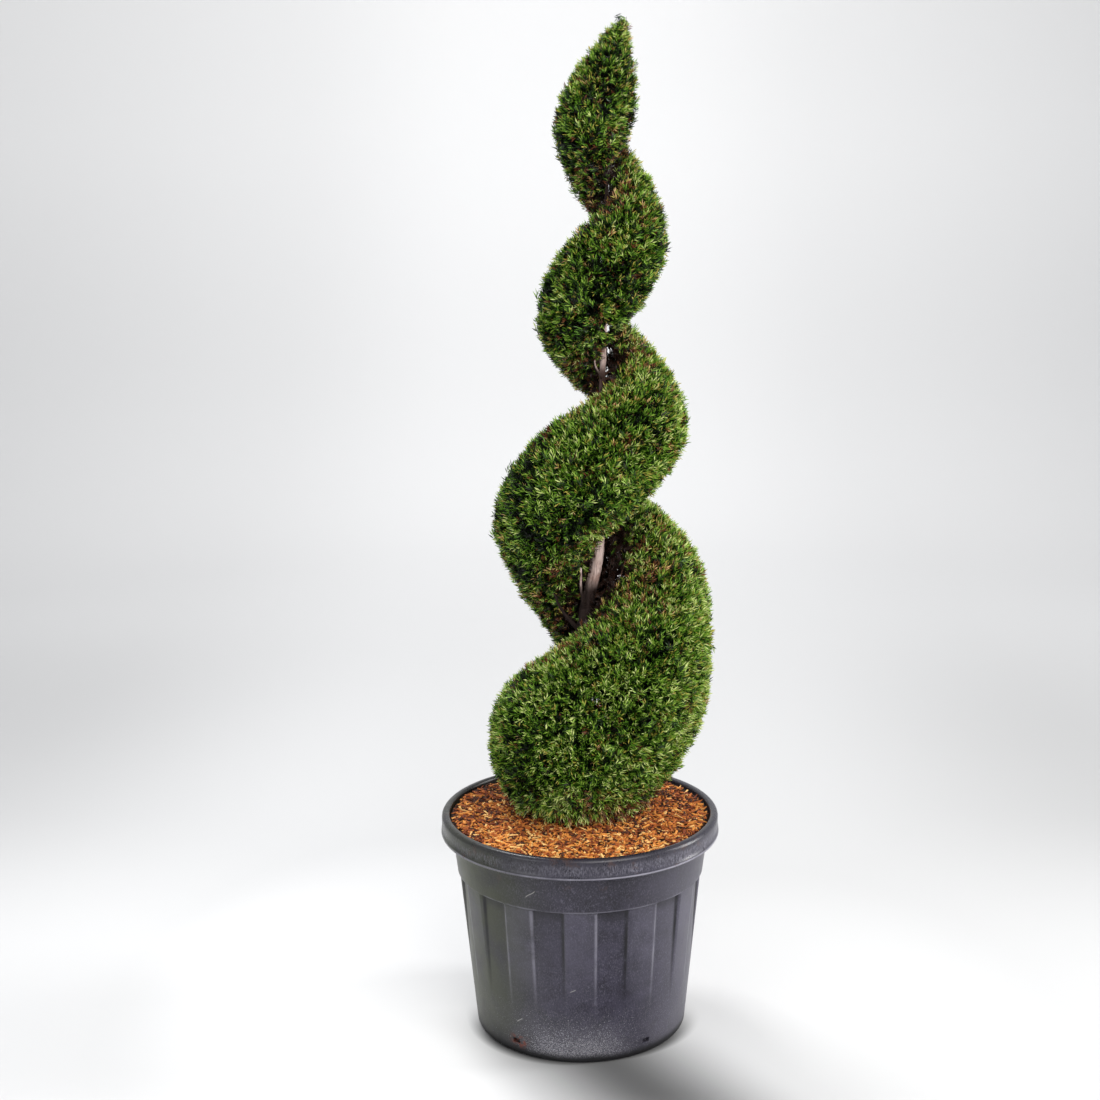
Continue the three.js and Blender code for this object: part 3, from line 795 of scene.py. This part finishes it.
bark = {
    # colours by the fibres' level, and what lies over them: rust patches, and the painted shade of the closed
    # grooves, low down and high up
    "fibres": [(0.32, (96, 72, 64)), (0.52, (212, 188, 180)), (0.72, (246, 222, 214))],
    "rust": (126, 80, 60), "darkened": (44, 22, 15), "shaded": (22, 11, 8), "shadedTop": (20, 11, 9),
    # the heights between which the bark keeps its pale colour, where the grooves stand open; elsewhere it is
    # painted in shade
    "openGrooveZones": [(0.640, 0.80), (0.945, 1.05)],
    "rows": 900, "columns": 56, "sunk": 0.006,
}


def makeBarkMaterial():
    # long fibres, pale in the open grooves; between them the bark is painted dark reddish brown as shade, and
    # near black low and high as deeper painted shade
    graph = Graph("trunkFibres", Roughness=0.85, Specular_IOR_Level=0.25)
    place = graph.objectPlace()
    z = graph.axes(place)[2]
    fibres = graph.noise(graph.scaled(place, (1, 1, 0.10)), 190, 6, 0.65, 0.4)
    color = graph.ramp(fibres, bark["fibres"])
    patches = graph.noise(place, 34, 4, 0.6).above(0.45, 0.68)
    color = graph.paint(color, patches * 0.55, bark["rust"])
    unshaded = 0
    for low, high in bark["openGrooveZones"]:
        unshaded = z.above(low, low + 0.025) * z.below(high, high + 0.03) + unshaded
    # painted shade outside the open grooves
    color = graph.paint(color, (1 - unshaded) * 0.93, bark["darkened"])
    color = graph.paint(color, z.below(0.638, 0.668) * 0.80, bark["shaded"])
    graph.feed("Base Color", graph.paint(color, z.above(1.08, 1.12) * 0.8, bark["shadedTop"]))
    graph.feed("Normal", graph.bump(fibres, 0.6, 0.0016))
    return graph.material


def makeTrunk(material):
    # rings round the leaning stem; the relief is long strips of bark with ragged edges
    rows, columns = bark["rows"], bark["columns"]
    foot, top = spiral["soil"] - bark["sunk"], spiral["trunkTop"]
    v = np.linspace(0, 1, rows)[:, None]
    u = np.linspace(0, 1, columns + 1)[:-1][None]
    z = foot + (top - foot) * v + 0 * u
    angle = u * tau + 0.25 * np.sin(z * 9) + 0 * z
    strips = latticeNoise(u + 0.02 * np.sin(z * 40), v, 14, 38, 21) + 0.5 * latticeNoise(u, v, 28, 90, 22)
    torn = latticeNoise(u, v, 20, 260, 23)
    relief = 0.11 * np.clip(strips * 1.4, -1, 1) + 0.035 * torn
    points = aroundStem(angle, trunkRadius(z) * (1 + relief), z).reshape(-1, 3)
    # both ends are closed by a fan round a point of their own
    ends = [np.array([leanAt(foot), 0, foot]), np.array([leanAt(top), 0, top + 0.001])]
    quads = gridFaces(rows, columns)
    j = np.arange(columns)
    k = (j + 1) % columns
    lowEnd, lastRing = np.full(columns, rows * columns), (rows - 1) * columns
    low = np.stack([k, j, lowEnd], -1)
    high = np.stack([lastRing + j, lastRing + k, lowEnd + 1], -1)
    triangles = np.concatenate([quads[:, [0, 1, 2]], quads[:, [0, 2, 3]], low, high])
    return makeObject("trunkBark", np.concatenate([points, ends]), triangles, [material])


def tubes(paths, sizes, sides):
    # paths: limbs x steps x 3, sizes: limbs x steps. A ring of points round each step; the ends lie hidden
    limbs, steps, _ = paths.shape
    ahead = unit(np.gradient(paths, axis=1))
    helper = np.where(np.abs(ahead[..., 2:3]) > 0.9, [[[1.0, 0, 0]]], [[[0, 0, 1.0]]])
    side = unit(np.cross(ahead, helper))
    up = np.cross(side, ahead)
    turn = (np.arange(sides) * tau / sides)[:, None]
    ring = side[:, :, None] * np.cos(turn) + up[:, :, None] * np.sin(turn)
    points = paths[:, :, None] + ring * sizes[:, :, None, None]
    per = steps * sides
    faces = gridFaces(steps, sides)
    allFaces = (faces[None] + per * np.arange(limbs)[:, None, None]).reshape(-1, 4)
    return points.reshape(-1, 3), allFaces[:, ::-1]


boughs = {
    # turn along the groove, length outwards, radius at the trunk
    "bough_low_left": (0.08, 0.042, 0.0036),
    "bough_low_front": (0.17, 0.034, 0.0028),
    "bough_low_back": (0.66, 0.040, 0.0032),
    "bough_middle_front": (1.2, 0.026, 0.0019),
    "bough_middle_back": (1.72, 0.026, 0.0017),
}


def makeOpenBoughs(material):
    # the limbs that cross the open groove, each from the trunk up to the mass above
    paths, sizes = [], []
    t = np.linspace(0, 1, 22)
    for turn, reach, radius in boughs.values():
        angle = (turn + 0.5) * tau
        start = grooveAt(turn) - belowAt(turn) * 0.3
        stem = trunkRadius(start) * 0.7
        end = grooveAt(turn) + aboveAt(turn) + 0.004
        z = start + (end - start) * t ** 1.3
        wander = 0.0012 * np.sin(t * 7 + turn * 5) * t
        path = aroundStem(angle + wander / 0.03, stem + (reach + 0.01) * t, z)
        size = mixed(radius * 0.85, radius * 0.40, t) * (1 + 0.10 * np.sin(t * 31 + turn * 9))
        size += radius * 0.7 * np.exp(-t / 0.08)
        paths.append(path)
        sizes.append(size)
    points, faces = tubes(np.array(paths), np.array(sizes), 12)
    return makeObject("openBoughs", points, faces, [material])


# see-through gaps beside the trunk: lines of sight, each by a point in front and one behind, and the room
# that twigs and sprays leave round them
openings = {
    "twigRoom": 0.0045, "sprayRoom": 0.0065,
    "lines": [((0.059, -0.05, 0.677), (0.064, 0.15, 0.634)), ((0.036, -0.05, 0.690), (0.039, 0.15, 0.648)),
              ((0.041, -0.05, 0.981), (0.044, 0.15, 0.964)), ((0.039, -0.05, 0.954), (0.043, 0.15, 0.935)),
              ((0.041, -0.05, 1.011), (0.044, 0.15, 0.998))],
}


def inOpening(places, room):
    # whether a twig or spray, given by places along it, comes nearer than room to a line of sight
    closed = np.zeros(places.shape[:-1], bool)
    for front, behind in openings["lines"]:
        offset = places - np.array(front)
        along = unit(np.array(behind) - np.array(front))
        away = offset - (offset @ along)[..., None] * along
        closed |= np.linalg.norm(away, axis=-1) < room
    return closed.any(axis=-1)


growth = {
    "limbsPerTurn": 26, "limbReach": 0.58, "limbRadius": 0.0032,
    "twigs": 4300, "twigDepth": 0.015, "twigRadius": 0.0009,
    "sprays": 62000, "innerSprays": 10000, "leaderSprays": 160,
    "sprayLength": (0.013, 0.019), "innerLength": (0.020, 0.030), "innerDepth": (0.010, 0.022),
    # the scales of a spray, and how many shapes of spray there are
    "shoots": 7, "scaleLength": (0.54, 0.66), "scaleWidth": (0.082, 0.110), "variants": 16,
    # how deep the sprays' tips lie under the clipped face, how much that varies, and its limits
    "sunk": 0.0030, "uneven": 0.0034, "deepest": -0.012, "highest": 0.005, "wispHighest": 0.006,
    # the share that stand proud as wisps, and by how much more
    "wisps": 0.08, "wispProud": (0.002, 0.0075),
    # what a spray's direction is made up of: the face's normal, away from its twig's end, outwards, upwards,
    # one way shared by a tuft and one of its own; and how far the lowest hang down
    "normal": 0.50, "fan": 0.30, "outward": 0.15, "upward": 0.42, "tuft": 0.30, "own": 0.50, "hang": 0.75,
    "trianglesPerPiece": 190000, "seed": 5,
}


def bandGrid():
    # a fine grid over every clipped face, with the area of each cell
    turnCells, shareCells = 640, 90
    turnEdge = np.linspace(spiral["grooveStart"] + 0.001, spiral["grooveEnd"] + 0.999, turnCells + 1)
    shareEdge = 0.5 - 0.5 * np.cos(np.linspace(0, math.pi, shareCells + 1))
    middle = (turnEdge[1:, None] + turnEdge[:-1, None]) / 2
    points = bandPoint(turnEdge[:-1, None], shareEdge[None], middle)
    along = bandPoint(turnEdge[1:, None], shareEdge[None, :-1], middle) - points[:, :-1]
    area = np.linalg.norm(np.cross(along, points[:, 1:] - points[:, :-1]), axis=-1)
    return turnEdge, shareEdge, area


def bandNormal(turn, share):
    step = 0.004
    low, high = np.clip(share - step, 0, 1), np.clip(share + step, 0, 1)
    along = bandPoint(turn + step, share, turn) - bandPoint(turn - step, share, turn)
    return unit(np.cross(along, bandPoint(turn, high) - bandPoint(turn, low)))


def leftOfGap(turn):
    # one over the left end of an open groove at the front, where twigs with leaf hang across it
    part = turn - np.round(turn - 0.07)
    return smoothStep(-0.10, 0.02, part) * (1 - smoothStep(0.15, 0.23, part))


def leafiness(turn, share):
    # how much leaf the face carries: bare near the trunk, none where it rests on the mulch
    angle, radius, z = bandPlace(turn, share)
    reach = radius / np.maximum(clipRadius(angle, z), 0.004)
    # the open groove low at the front shows more of the bare trunk than those above, and the top one less
    bare = 0.22 * (1 - smoothStep(0.72, 0.84, z)) * (share < 0.5) - 0.22 * smoothStep(1.04, 1.10, z)
    bare = bare - 0.30 * leftOfGap(turn - 1) * (share < 0.5)
    near = 0.10 + 0.90 * smoothStep(bare, bare + 0.30, reach)
    return near * smoothStep(spiral["soil"] - 0.004, spiral["soil"] + 0.012, z)


def scatter(count, rng, grid):
    # places spread evenly by area: a stratified draw along the running total of the cells
    turnEdge, shareEdge, area = grid
    turn = (turnEdge[1:] + turnEdge[:-1]) / 2
    share = (shareEdge[1:] + shareEdge[:-1]) / 2
    weight = area * leafiness(turn[:, None], share[None])
    total = np.cumsum(weight.ravel())
    draw = (np.arange(count) + rng.uniform(0, 1, count)) / count * total[-1]
    cell = np.minimum(np.searchsorted(total, draw), weight.size - 1)
    i, j = np.divmod(cell, weight.shape[1])
    turnPlace = turnEdge[i] + (turnEdge[i + 1] - turnEdge[i]) * rng.uniform(0, 1, count)
    sharePlace = shareEdge[j] + (shareEdge[j + 1] - shareEdge[j]) * rng.uniform(0, 1, count)
    return turnPlace, sharePlace


barkColors = {
    # the darkest, dealt mostly low down, is painted shade
    "barkShade": (42, 22, 15), "barkDark": (50, 32, 24), "barkBrown": (76, 50, 37),
    "barkPale": (158, 118, 100),
}


def dealBark(heights, facesEach, rng):
    # painted shade low down, darker and paler brown above, and a few pale dead limbs
    draw = rng.uniform(size=len(heights)) + 0.5 * (smoothStep(0.60, 0.68, heights) - 1)
    return np.repeat(np.digitize(draw, [0.05, 0.52, 0.95]), facesEach)


def makeLimbs(barks):
    # limbs rise from the trunk through the middle of each band
    count = int((spiral["grooveEnd"] + 1 - spiral["grooveStart"]) * growth["limbsPerTurn"])
    rng = np.random.default_rng(growth["seed"] + 1)
    turn = np.linspace(spiral["grooveStart"] + 0.02, spiral["grooveEnd"] + 0.97, count)
    share = 0.5 + 0.22 * np.where(np.arange(count) % 2, 1, -1) + rng.uniform(-0.06, 0.06, count)
    angle, radius, z = bandPlace(turn, share)
    reach = radius * growth["limbReach"]
    t = np.linspace(0, 1, 9)
    start = z - 0.45 * reach
    start = np.maximum(start, spiral["soil"] + 0.01)
    height = start[:, None] + (z - start)[:, None] * t ** 1.2
    out = trunkRadius(start)[:, None] * 0.6 + reach[:, None] * t
    bend = 0.25 * np.sin(t * 3 + turn[:, None] * 7) * t
    paths = aroundStem(angle[:, None] + bend, out, height)
    scale = np.clip(reach / 0.08, 0.35, 1.2)[:, None]
    sizes = growth["limbRadius"] * scale * mixed(1.0, 0.4, t)[None]
    points, faces = tubes(paths, sizes, 6)
    slots = dealBark(z, len(faces) // count, rng)
    return makeObject("limbs", points, faces, barks, slots), turn, paths


def makeTwigs(barks, limbTurn, limbPaths, grid):
    # a twig leaves the nearest limb and bends out to just under the clipped face
    rng = np.random.default_rng(growth["seed"] + 2)
    turn, share = scatter(growth["twigs"], rng, grid)
    target = bandPoint(turn, share)
    normal = bandNormal(turn, share)
    depth = growth["twigDepth"] * rng.uniform(0.75, 1.3, len(turn))
    radius = bandPlace(turn, share)[1]
    depth = np.minimum(depth, radius * 0.45)
    end = target - normal * depth[:, None]
    limb = np.clip(np.searchsorted(limbTurn, turn) - rng.integers(0, 2, len(turn)), 0, len(limbTurn) - 1)
    step = rng.integers(3, 9, len(turn))
    start = limbPaths[limb, step]
    t = np.linspace(0, 1, 5)[None, :, None]
    span = np.linalg.norm(end - start, axis=-1, keepdims=True)
    bow = unit(rng.normal(size=start.shape) + [0, 0, 0.6]) * np.minimum(span * 0.10, 0.004)
    paths = start[:, None] * (1 - t) + end[:, None] * t + bow[:, None] * (4 * t * (1 - t))
    slender = rng.uniform(0.7, 1.3, len(turn)) * np.clip(radius / 0.06, 0.45, 1)
    sizes = growth["twigRadius"] * slender[:, None] * mixed(1.2, 0.5, t[0, :, 0])[None]
    points, faces = tubes(paths, sizes, 3)
    slots = dealBark(target[:, 2], len(faces) // len(turn), rng)
    kept = np.repeat(~inOpening(paths, openings["twigRoom"]), len(faces) // len(turn))
    return makeObject("twigs", points, faces[kept], barks, slots[kept]), end


leafColors = {
    # name: screen colour
    "leafShade": (7, 15, 3), "leafDeep": (34, 60, 12), "leafGreen": (90, 133, 32),
    "leafFresh": (144, 177, 68), "leafLime": (202, 214, 134), "leafOlive": (178, 168, 76),
    "leafTan": (212, 174, 122), "leafRust": (122, 72, 44), "leafUmber": (40, 22, 15),
}
# the slot that a spray's scales take, by its own slot: a row each for lit, half-shaded and shaded scales, the
# older ones towards a spray's foot darkened as painted shade
scaleTints = np.array([
    [0, 1, 2, 3, 4, 5, 6, 7, 8],
    [0, 0, 1, 2, 3, 2, 5, 7, 8],
    [0, 0, 0, 1, 1, 1, 7, 8, 8],
])
# the row for each scale of a spray, from its foot to its tip
scaleShading = np.array([2, 2, 1, 2, 0, 1, 0])


def sprayShape(seed, shoots):
    # one spray, one unit long, along x: narrow folded scales fork off a bent axis by turns round it, and the
    # last goes straight on
    rng = np.random.default_rng(seed)
    bend = rng.uniform(-0.25, 0.25)
    lift = rng.uniform(-0.12, 0.12)
    blades = []
    for n in range(shoots):
        s = 0.02 + 0.46 * n / (shoots - 1)
        base = np.array([s, bend * s * s, lift * s * s])
        turn = n * 2.4 + rng.uniform(-0.5, 0.5)
        spread = math.radians(rng.uniform(24, 42)) if n < shoots - 1 else 0.1
        ahead = np.array([math.cos(spread), math.sin(spread) * math.cos(turn) + 2 * bend * s,
                          math.sin(spread) * math.sin(turn) * 0.8 + 2 * lift * s])
        ahead = ahead / np.linalg.norm(ahead)
        flat = np.cross(ahead, [-0.4, -math.sin(turn) + rng.uniform(-0.5, 0.5), math.cos(turn)])
        flat = flat / np.linalg.norm(flat)
        back = np.cross(ahead, flat)
        length = rng.uniform(*growth["scaleLength"]) * (1 - 0.1 * n / (shoots - 1))
        width = rng.uniform(*growth["scaleWidth"])
        middle = base + ahead * length * rng.uniform(0.42, 0.60) + back * width * 0.45
        tip = base + ahead * length
        blades.append([base, middle - flat * width / 2, tip, middle + flat * width / 2])
    return np.array(blades)


def growSprays(name, tips, ahead, lengths, tint, materials, rng):
    # every spray is a copy of one of a few shapes, turned about its own line, ending at its tip
    shoots = growth["shoots"]
    variants = np.stack([sprayShape(31 + n, shoots) for n in range(growth["variants"])])
    pick = rng.integers(0, len(variants), len(tips))
    helper = unit(rng.normal(size=tips.shape))
    side = unit(np.cross(ahead, helper))
    up = np.cross(ahead, side)
    shape = variants[pick] * lengths[:, None, None, None]
    shape[..., 0] -= lengths[:, None, None]
    points = laidOut(shape, tips, ahead, side, up)
    spine = tips[:, None] - ahead[:, None] * lengths[:, None, None] * np.array([0, 0.5, 1])[:, None]
    kept = ~inOpening(spine, openings["sprayRoom"])
    points, tint = points[kept], tint[kept]
    bladeTint = scaleTints[scaleShading[None], tint[:, None]]
    perPiece = growth["trianglesPerPiece"] // (shoots * 2)
    pieces = []
    for n, first in enumerate(range(0, len(points), perPiece)):
        chosen = slice(first, first + perPiece)
        block = points[chosen].reshape(-1, 3)
        corner = np.arange(len(block)).reshape(-1, 4)
        faces = np.stack([corner[:, [0, 1, 2]], corner[:, [0, 2, 3]]], 1).reshape(-1, 3)
        slots = np.repeat(bladeTint[chosen].ravel(), 2)
        pieces.append(makeObject(f"{name}{n + 1}", block, faces, materials, slots, smooth=False))
    return pieces


tones = {
    # what each thing adds to a spray's tone, and the tones between the five greens; the terms by depth,
    # facing, height and side are painted light and shade
    "patch": 0.40, "smallPatch": 0.30, "twig": 0.40, "chance": 0.55, "upwards": 0.25, "proud": 0.80,
    "rightLow": 0.40, "rightHigh": 0.18, "all": 0.16, "low": 0.36, "high": -0.34, "left": -0.30,
    "aboveGap": -0.10, "middle": 0.22, "tip": 0.9,
    "steps": [-0.60, 0.10, 0.95, 2.0],
    # slots of the darkest green and of the colours other than greens
    "shade": 0, "olive": 5, "tan": 6, "rust": 7, "umber": 8,
}


def sprayTone(places, normals, clusterTone, proud, rng):
    # patches of colour by soft noise and by twig. The rest is painted light and shade: sprays that stand
    # proud are paler and sunken ones darker, those facing up paler, and there is more light low down, to the
    # right and at the very tip, and less high up and to the left
    x, height = places[:, 0], places[:, 2]
    tone = tones["patch"] * swell(places, 0.10, 41) + tones["smallPatch"] * swell(places, 0.035, 42)
    tone = tone + tones["twig"] * clusterTone
    tone = tone + rng.normal(0, tones["chance"], len(places)) + tones["upwards"] * normals[:, 2]
    right = mixed(tones["rightLow"], tones["rightHigh"], smoothStep(0.85, 1.05, height))
    tone = tone + right * normals[:, 0]
    tone = tone + tones["proud"] * (proud + growth["sunk"]) / growth["uneven"]
    tone = tone + tones["all"] + tones["low"] * (1 - smoothStep(0.40, 0.80, height))
    tone = tone + tones["high"] * smoothStep(0.9, 1.25, height) + tones["left"] * smoothStep(0.02, 0.10, -x)
    tone = tone + tones["aboveGap"] * smoothStep(0.66, 0.80, height)
    tone = tone + tones["middle"] * np.exp(-((x - 0.01) / 0.06) ** 2) * (1 - smoothStep(0.52, 0.66, height))
    return tone + tones["tip"] * smoothStep(1.36, 1.405, height)


def tintSprays(places, normals, turn, reach, clusterTone, proud, rng):
    # the greens go by tone. Some sprays are olive, most of all high up, and a few are dead, more of them near
    # the trunk and over the mulch at the right
    tone = sprayTone(places, normals, clusterTone, proud, rng)
    tint = np.digitize(tone, tones["steps"])
    x, height = places[:, 0], places[:, 2]
    high = smoothStep(0.75, 1.35, height)
    olive = 0.08 + 0.12 * high + 0.12 * np.clip(swell(places, 0.07, 43), 0, 1)
    olive = olive + 0.08 * np.clip(normals[:, 0], 0, 1)
    tint = np.where((rng.uniform(size=len(places)) < olive) & (tint > 1), tones["olive"], tint)
    skirt = 1 - smoothStep(spiral["soil"] + 0.01, spiral["soil"] + 0.08, height)
    skirt = skirt * smoothStep(-0.06, 0.06, x)
    dead = 0.016 + 0.04 * high + 0.24 * np.clip(swell(places, 0.045, 44) - 0.8, 0, 1) + 0.60 * skirt
    dead = dead + 0.20 * (1 - smoothStep(0.5, 0.85, reach))
    draw = rng.uniform(size=len(places))
    tint = np.where(draw < dead, tones["tan"], tint)
    tint = np.where(draw < dead * 0.62, tones["rust"], tint)
    # brown close to the trunk: dead needles, made near black as painted shade
    bare = (1 - smoothStep(0.16, 0.40, reach)) * (0.92 - 0.50 * leftOfGap(turn - 1))
    return np.where(rng.uniform(size=len(places)) < bare, tones["umber"], tint)


def nearestEnds(twigEnds, places):
    # the number of the twig that ends nearest to each place
    tree = kdtree.KDTree(len(twigEnds))
    for n, end in enumerate(twigEnds):
        tree.insert(end, n)
    tree.balance()
    return np.array([tree.find(place)[1] for place in places])


def makeOuterLeaves(twigEnds, grid, materials, rng):
    # sprays over the clipped faces, fanned out from the ends of the twigs
    turn, share = scatter(growth["sprays"], rng, grid)
    # more of them round the leader, at the very top
    turn = np.concatenate([turn, rng.uniform(2.8, 3.7, growth["leaderSprays"])])
    share = np.concatenate([share, rng.uniform(0.86, 0.965, growth["leaderSprays"])])
    face = bandPoint(turn, share)
    normal = bandNormal(turn, share)
    angle, radius, z = bandPlace(turn, share)
    reach = radius / np.maximum(clipRadius(angle, z), 0.004)
    nearest = nearestEnds(twigEnds, face)
    fan = unit(face - twigEnds[nearest])
    outward = polar(1, angle, 0)
    tuft = unit(rng.normal(size=twigEnds.shape))[nearest]
    # the lowest sprays hang over the mulch
    hanging = 1 - smoothStep(spiral["soil"] + 0.012, spiral["soil"] + 0.050, z)
    rise = (growth["upward"] - growth["hang"] * hanging)[:, None] * np.array([0, 0, 1.0])
    own = rng.normal(size=face.shape) / math.sqrt(3)
    ahead = growth["normal"] * normal + growth["fan"] * fan + growth["outward"] * outward
    ahead = unit(ahead + rise + growth["tuft"] * tuft + growth["own"] * own)
    lengths = rng.uniform(*growth["sprayLength"], len(turn)) * np.clip(0.75 + radius / 0.25, 0.8, 1.1)
    proud = rng.normal(-growth["sunk"], growth["uneven"], len(turn))
    wisp = rng.uniform(size=len(turn)) < growth["wisps"]
    proud = np.clip(proud, growth["deepest"], growth["highest"])
    proud = proud + np.where(wisp, rng.uniform(*growth["wispProud"], len(turn)), 0)
    proud = np.minimum(proud, growth["wispHighest"])
    ahead = np.where(wisp[:, None], unit(ahead + 0.9 * normal), ahead)
    # none points back into the mass, which would leave its foot in the air
    outwards = (ahead * normal).sum(-1, keepdims=True)
    ahead = unit(ahead + normal * np.maximum(0.25 - outwards, 0))
    proud = proud + hanging * np.clip(rng.normal(0, 0.005, len(turn)), -0.004, 0.010)
    tips = face + normal * proud[:, None]
    tips[:, 2] = np.clip(tips[:, 2], soilHeight(tips[:, 0], tips[:, 1]) + 0.002, spiral["tip"] - 0.003)
    clusterTone = rng.normal(size=len(twigEnds))[nearest]
    tint = tintSprays(face, normal, turn, reach, clusterTone, proud, rng)
    return growSprays("leaves", tips, ahead, lengths, tint, materials, rng)


def makeInnerLeaves(grid, materials, rng):
    # an inner layer of older sprays, coloured near black as painted shade, a quarter of them dark brown
    turn, share = scatter(growth["innerSprays"], rng, grid)
    normal = bandNormal(turn, share)
    radius, z = bandPlace(turn, share)[1:]
    depth = np.minimum(rng.uniform(*growth["innerDepth"], len(turn)), radius * 0.4)
    tips = bandPoint(turn, share) - normal * depth[:, None]
    ahead = unit(1.1 * normal + 0.7 * unit(rng.normal(size=tips.shape)))
    lengths = rng.uniform(*growth["innerLength"], len(turn)) * np.clip(radius / 0.08, 0.45, 1)
    tint = np.where(rng.uniform(size=len(turn)) < 0.25, tones["umber"], tones["shade"])
    # there is no room for them in the narrow tip
    wide = (z < spiral["trunkTop"]) | (radius > 0.026)
    return growSprays("innerLeaves", tips[wide], ahead[wide], lengths[wide], tint[wide], materials, rng)


makeCamera()
makeLights()
makeFloor()
print("camera, lights and floor done")

potShell = makePot()
cutDrains(potShell)
finishPiece(potShell, ["pot"])
print("pot done,", len(potShell.data.polygons), "faces")

finishPiece(makeSoil(), ["soil"])
finishPiece(makeChips())
print("mulch done")

trunkBark = makeBarkMaterial()
twigBarks = makePlainMaterials(barkColors, 0.85, 0.25)
finishPiece(makeTrunk(trunkBark), ["trunk"])
finishPiece(makeOpenBoughs(trunkBark), list(boughs))
bandCells = bandGrid()
limbs, limbTurn, limbPaths = makeLimbs(twigBarks)
finishPiece(limbs)
twigs, twigEnds = makeTwigs(twigBarks, limbTurn, limbPaths, bandCells)
finishPiece(twigs)
print("trunk, limbs and twigs done")

leafRng = np.random.default_rng(growth["seed"] + 3)
leafMaterials = makePlainMaterials(leafColors, 0.42, 0.38)
leafPieces = makeOuterLeaves(twigEnds, bandCells, leafMaterials, leafRng)
leafPieces += makeInnerLeaves(bandCells, leafMaterials, leafRng)
masses = [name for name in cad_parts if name.startswith("foliage")]
for n, piece in enumerate(leafPieces):
    finishPiece(piece, masses if n == 0 else ())
print("leaves done,", sum(len(piece.data.polygons) for piece in leafPieces), "faces")
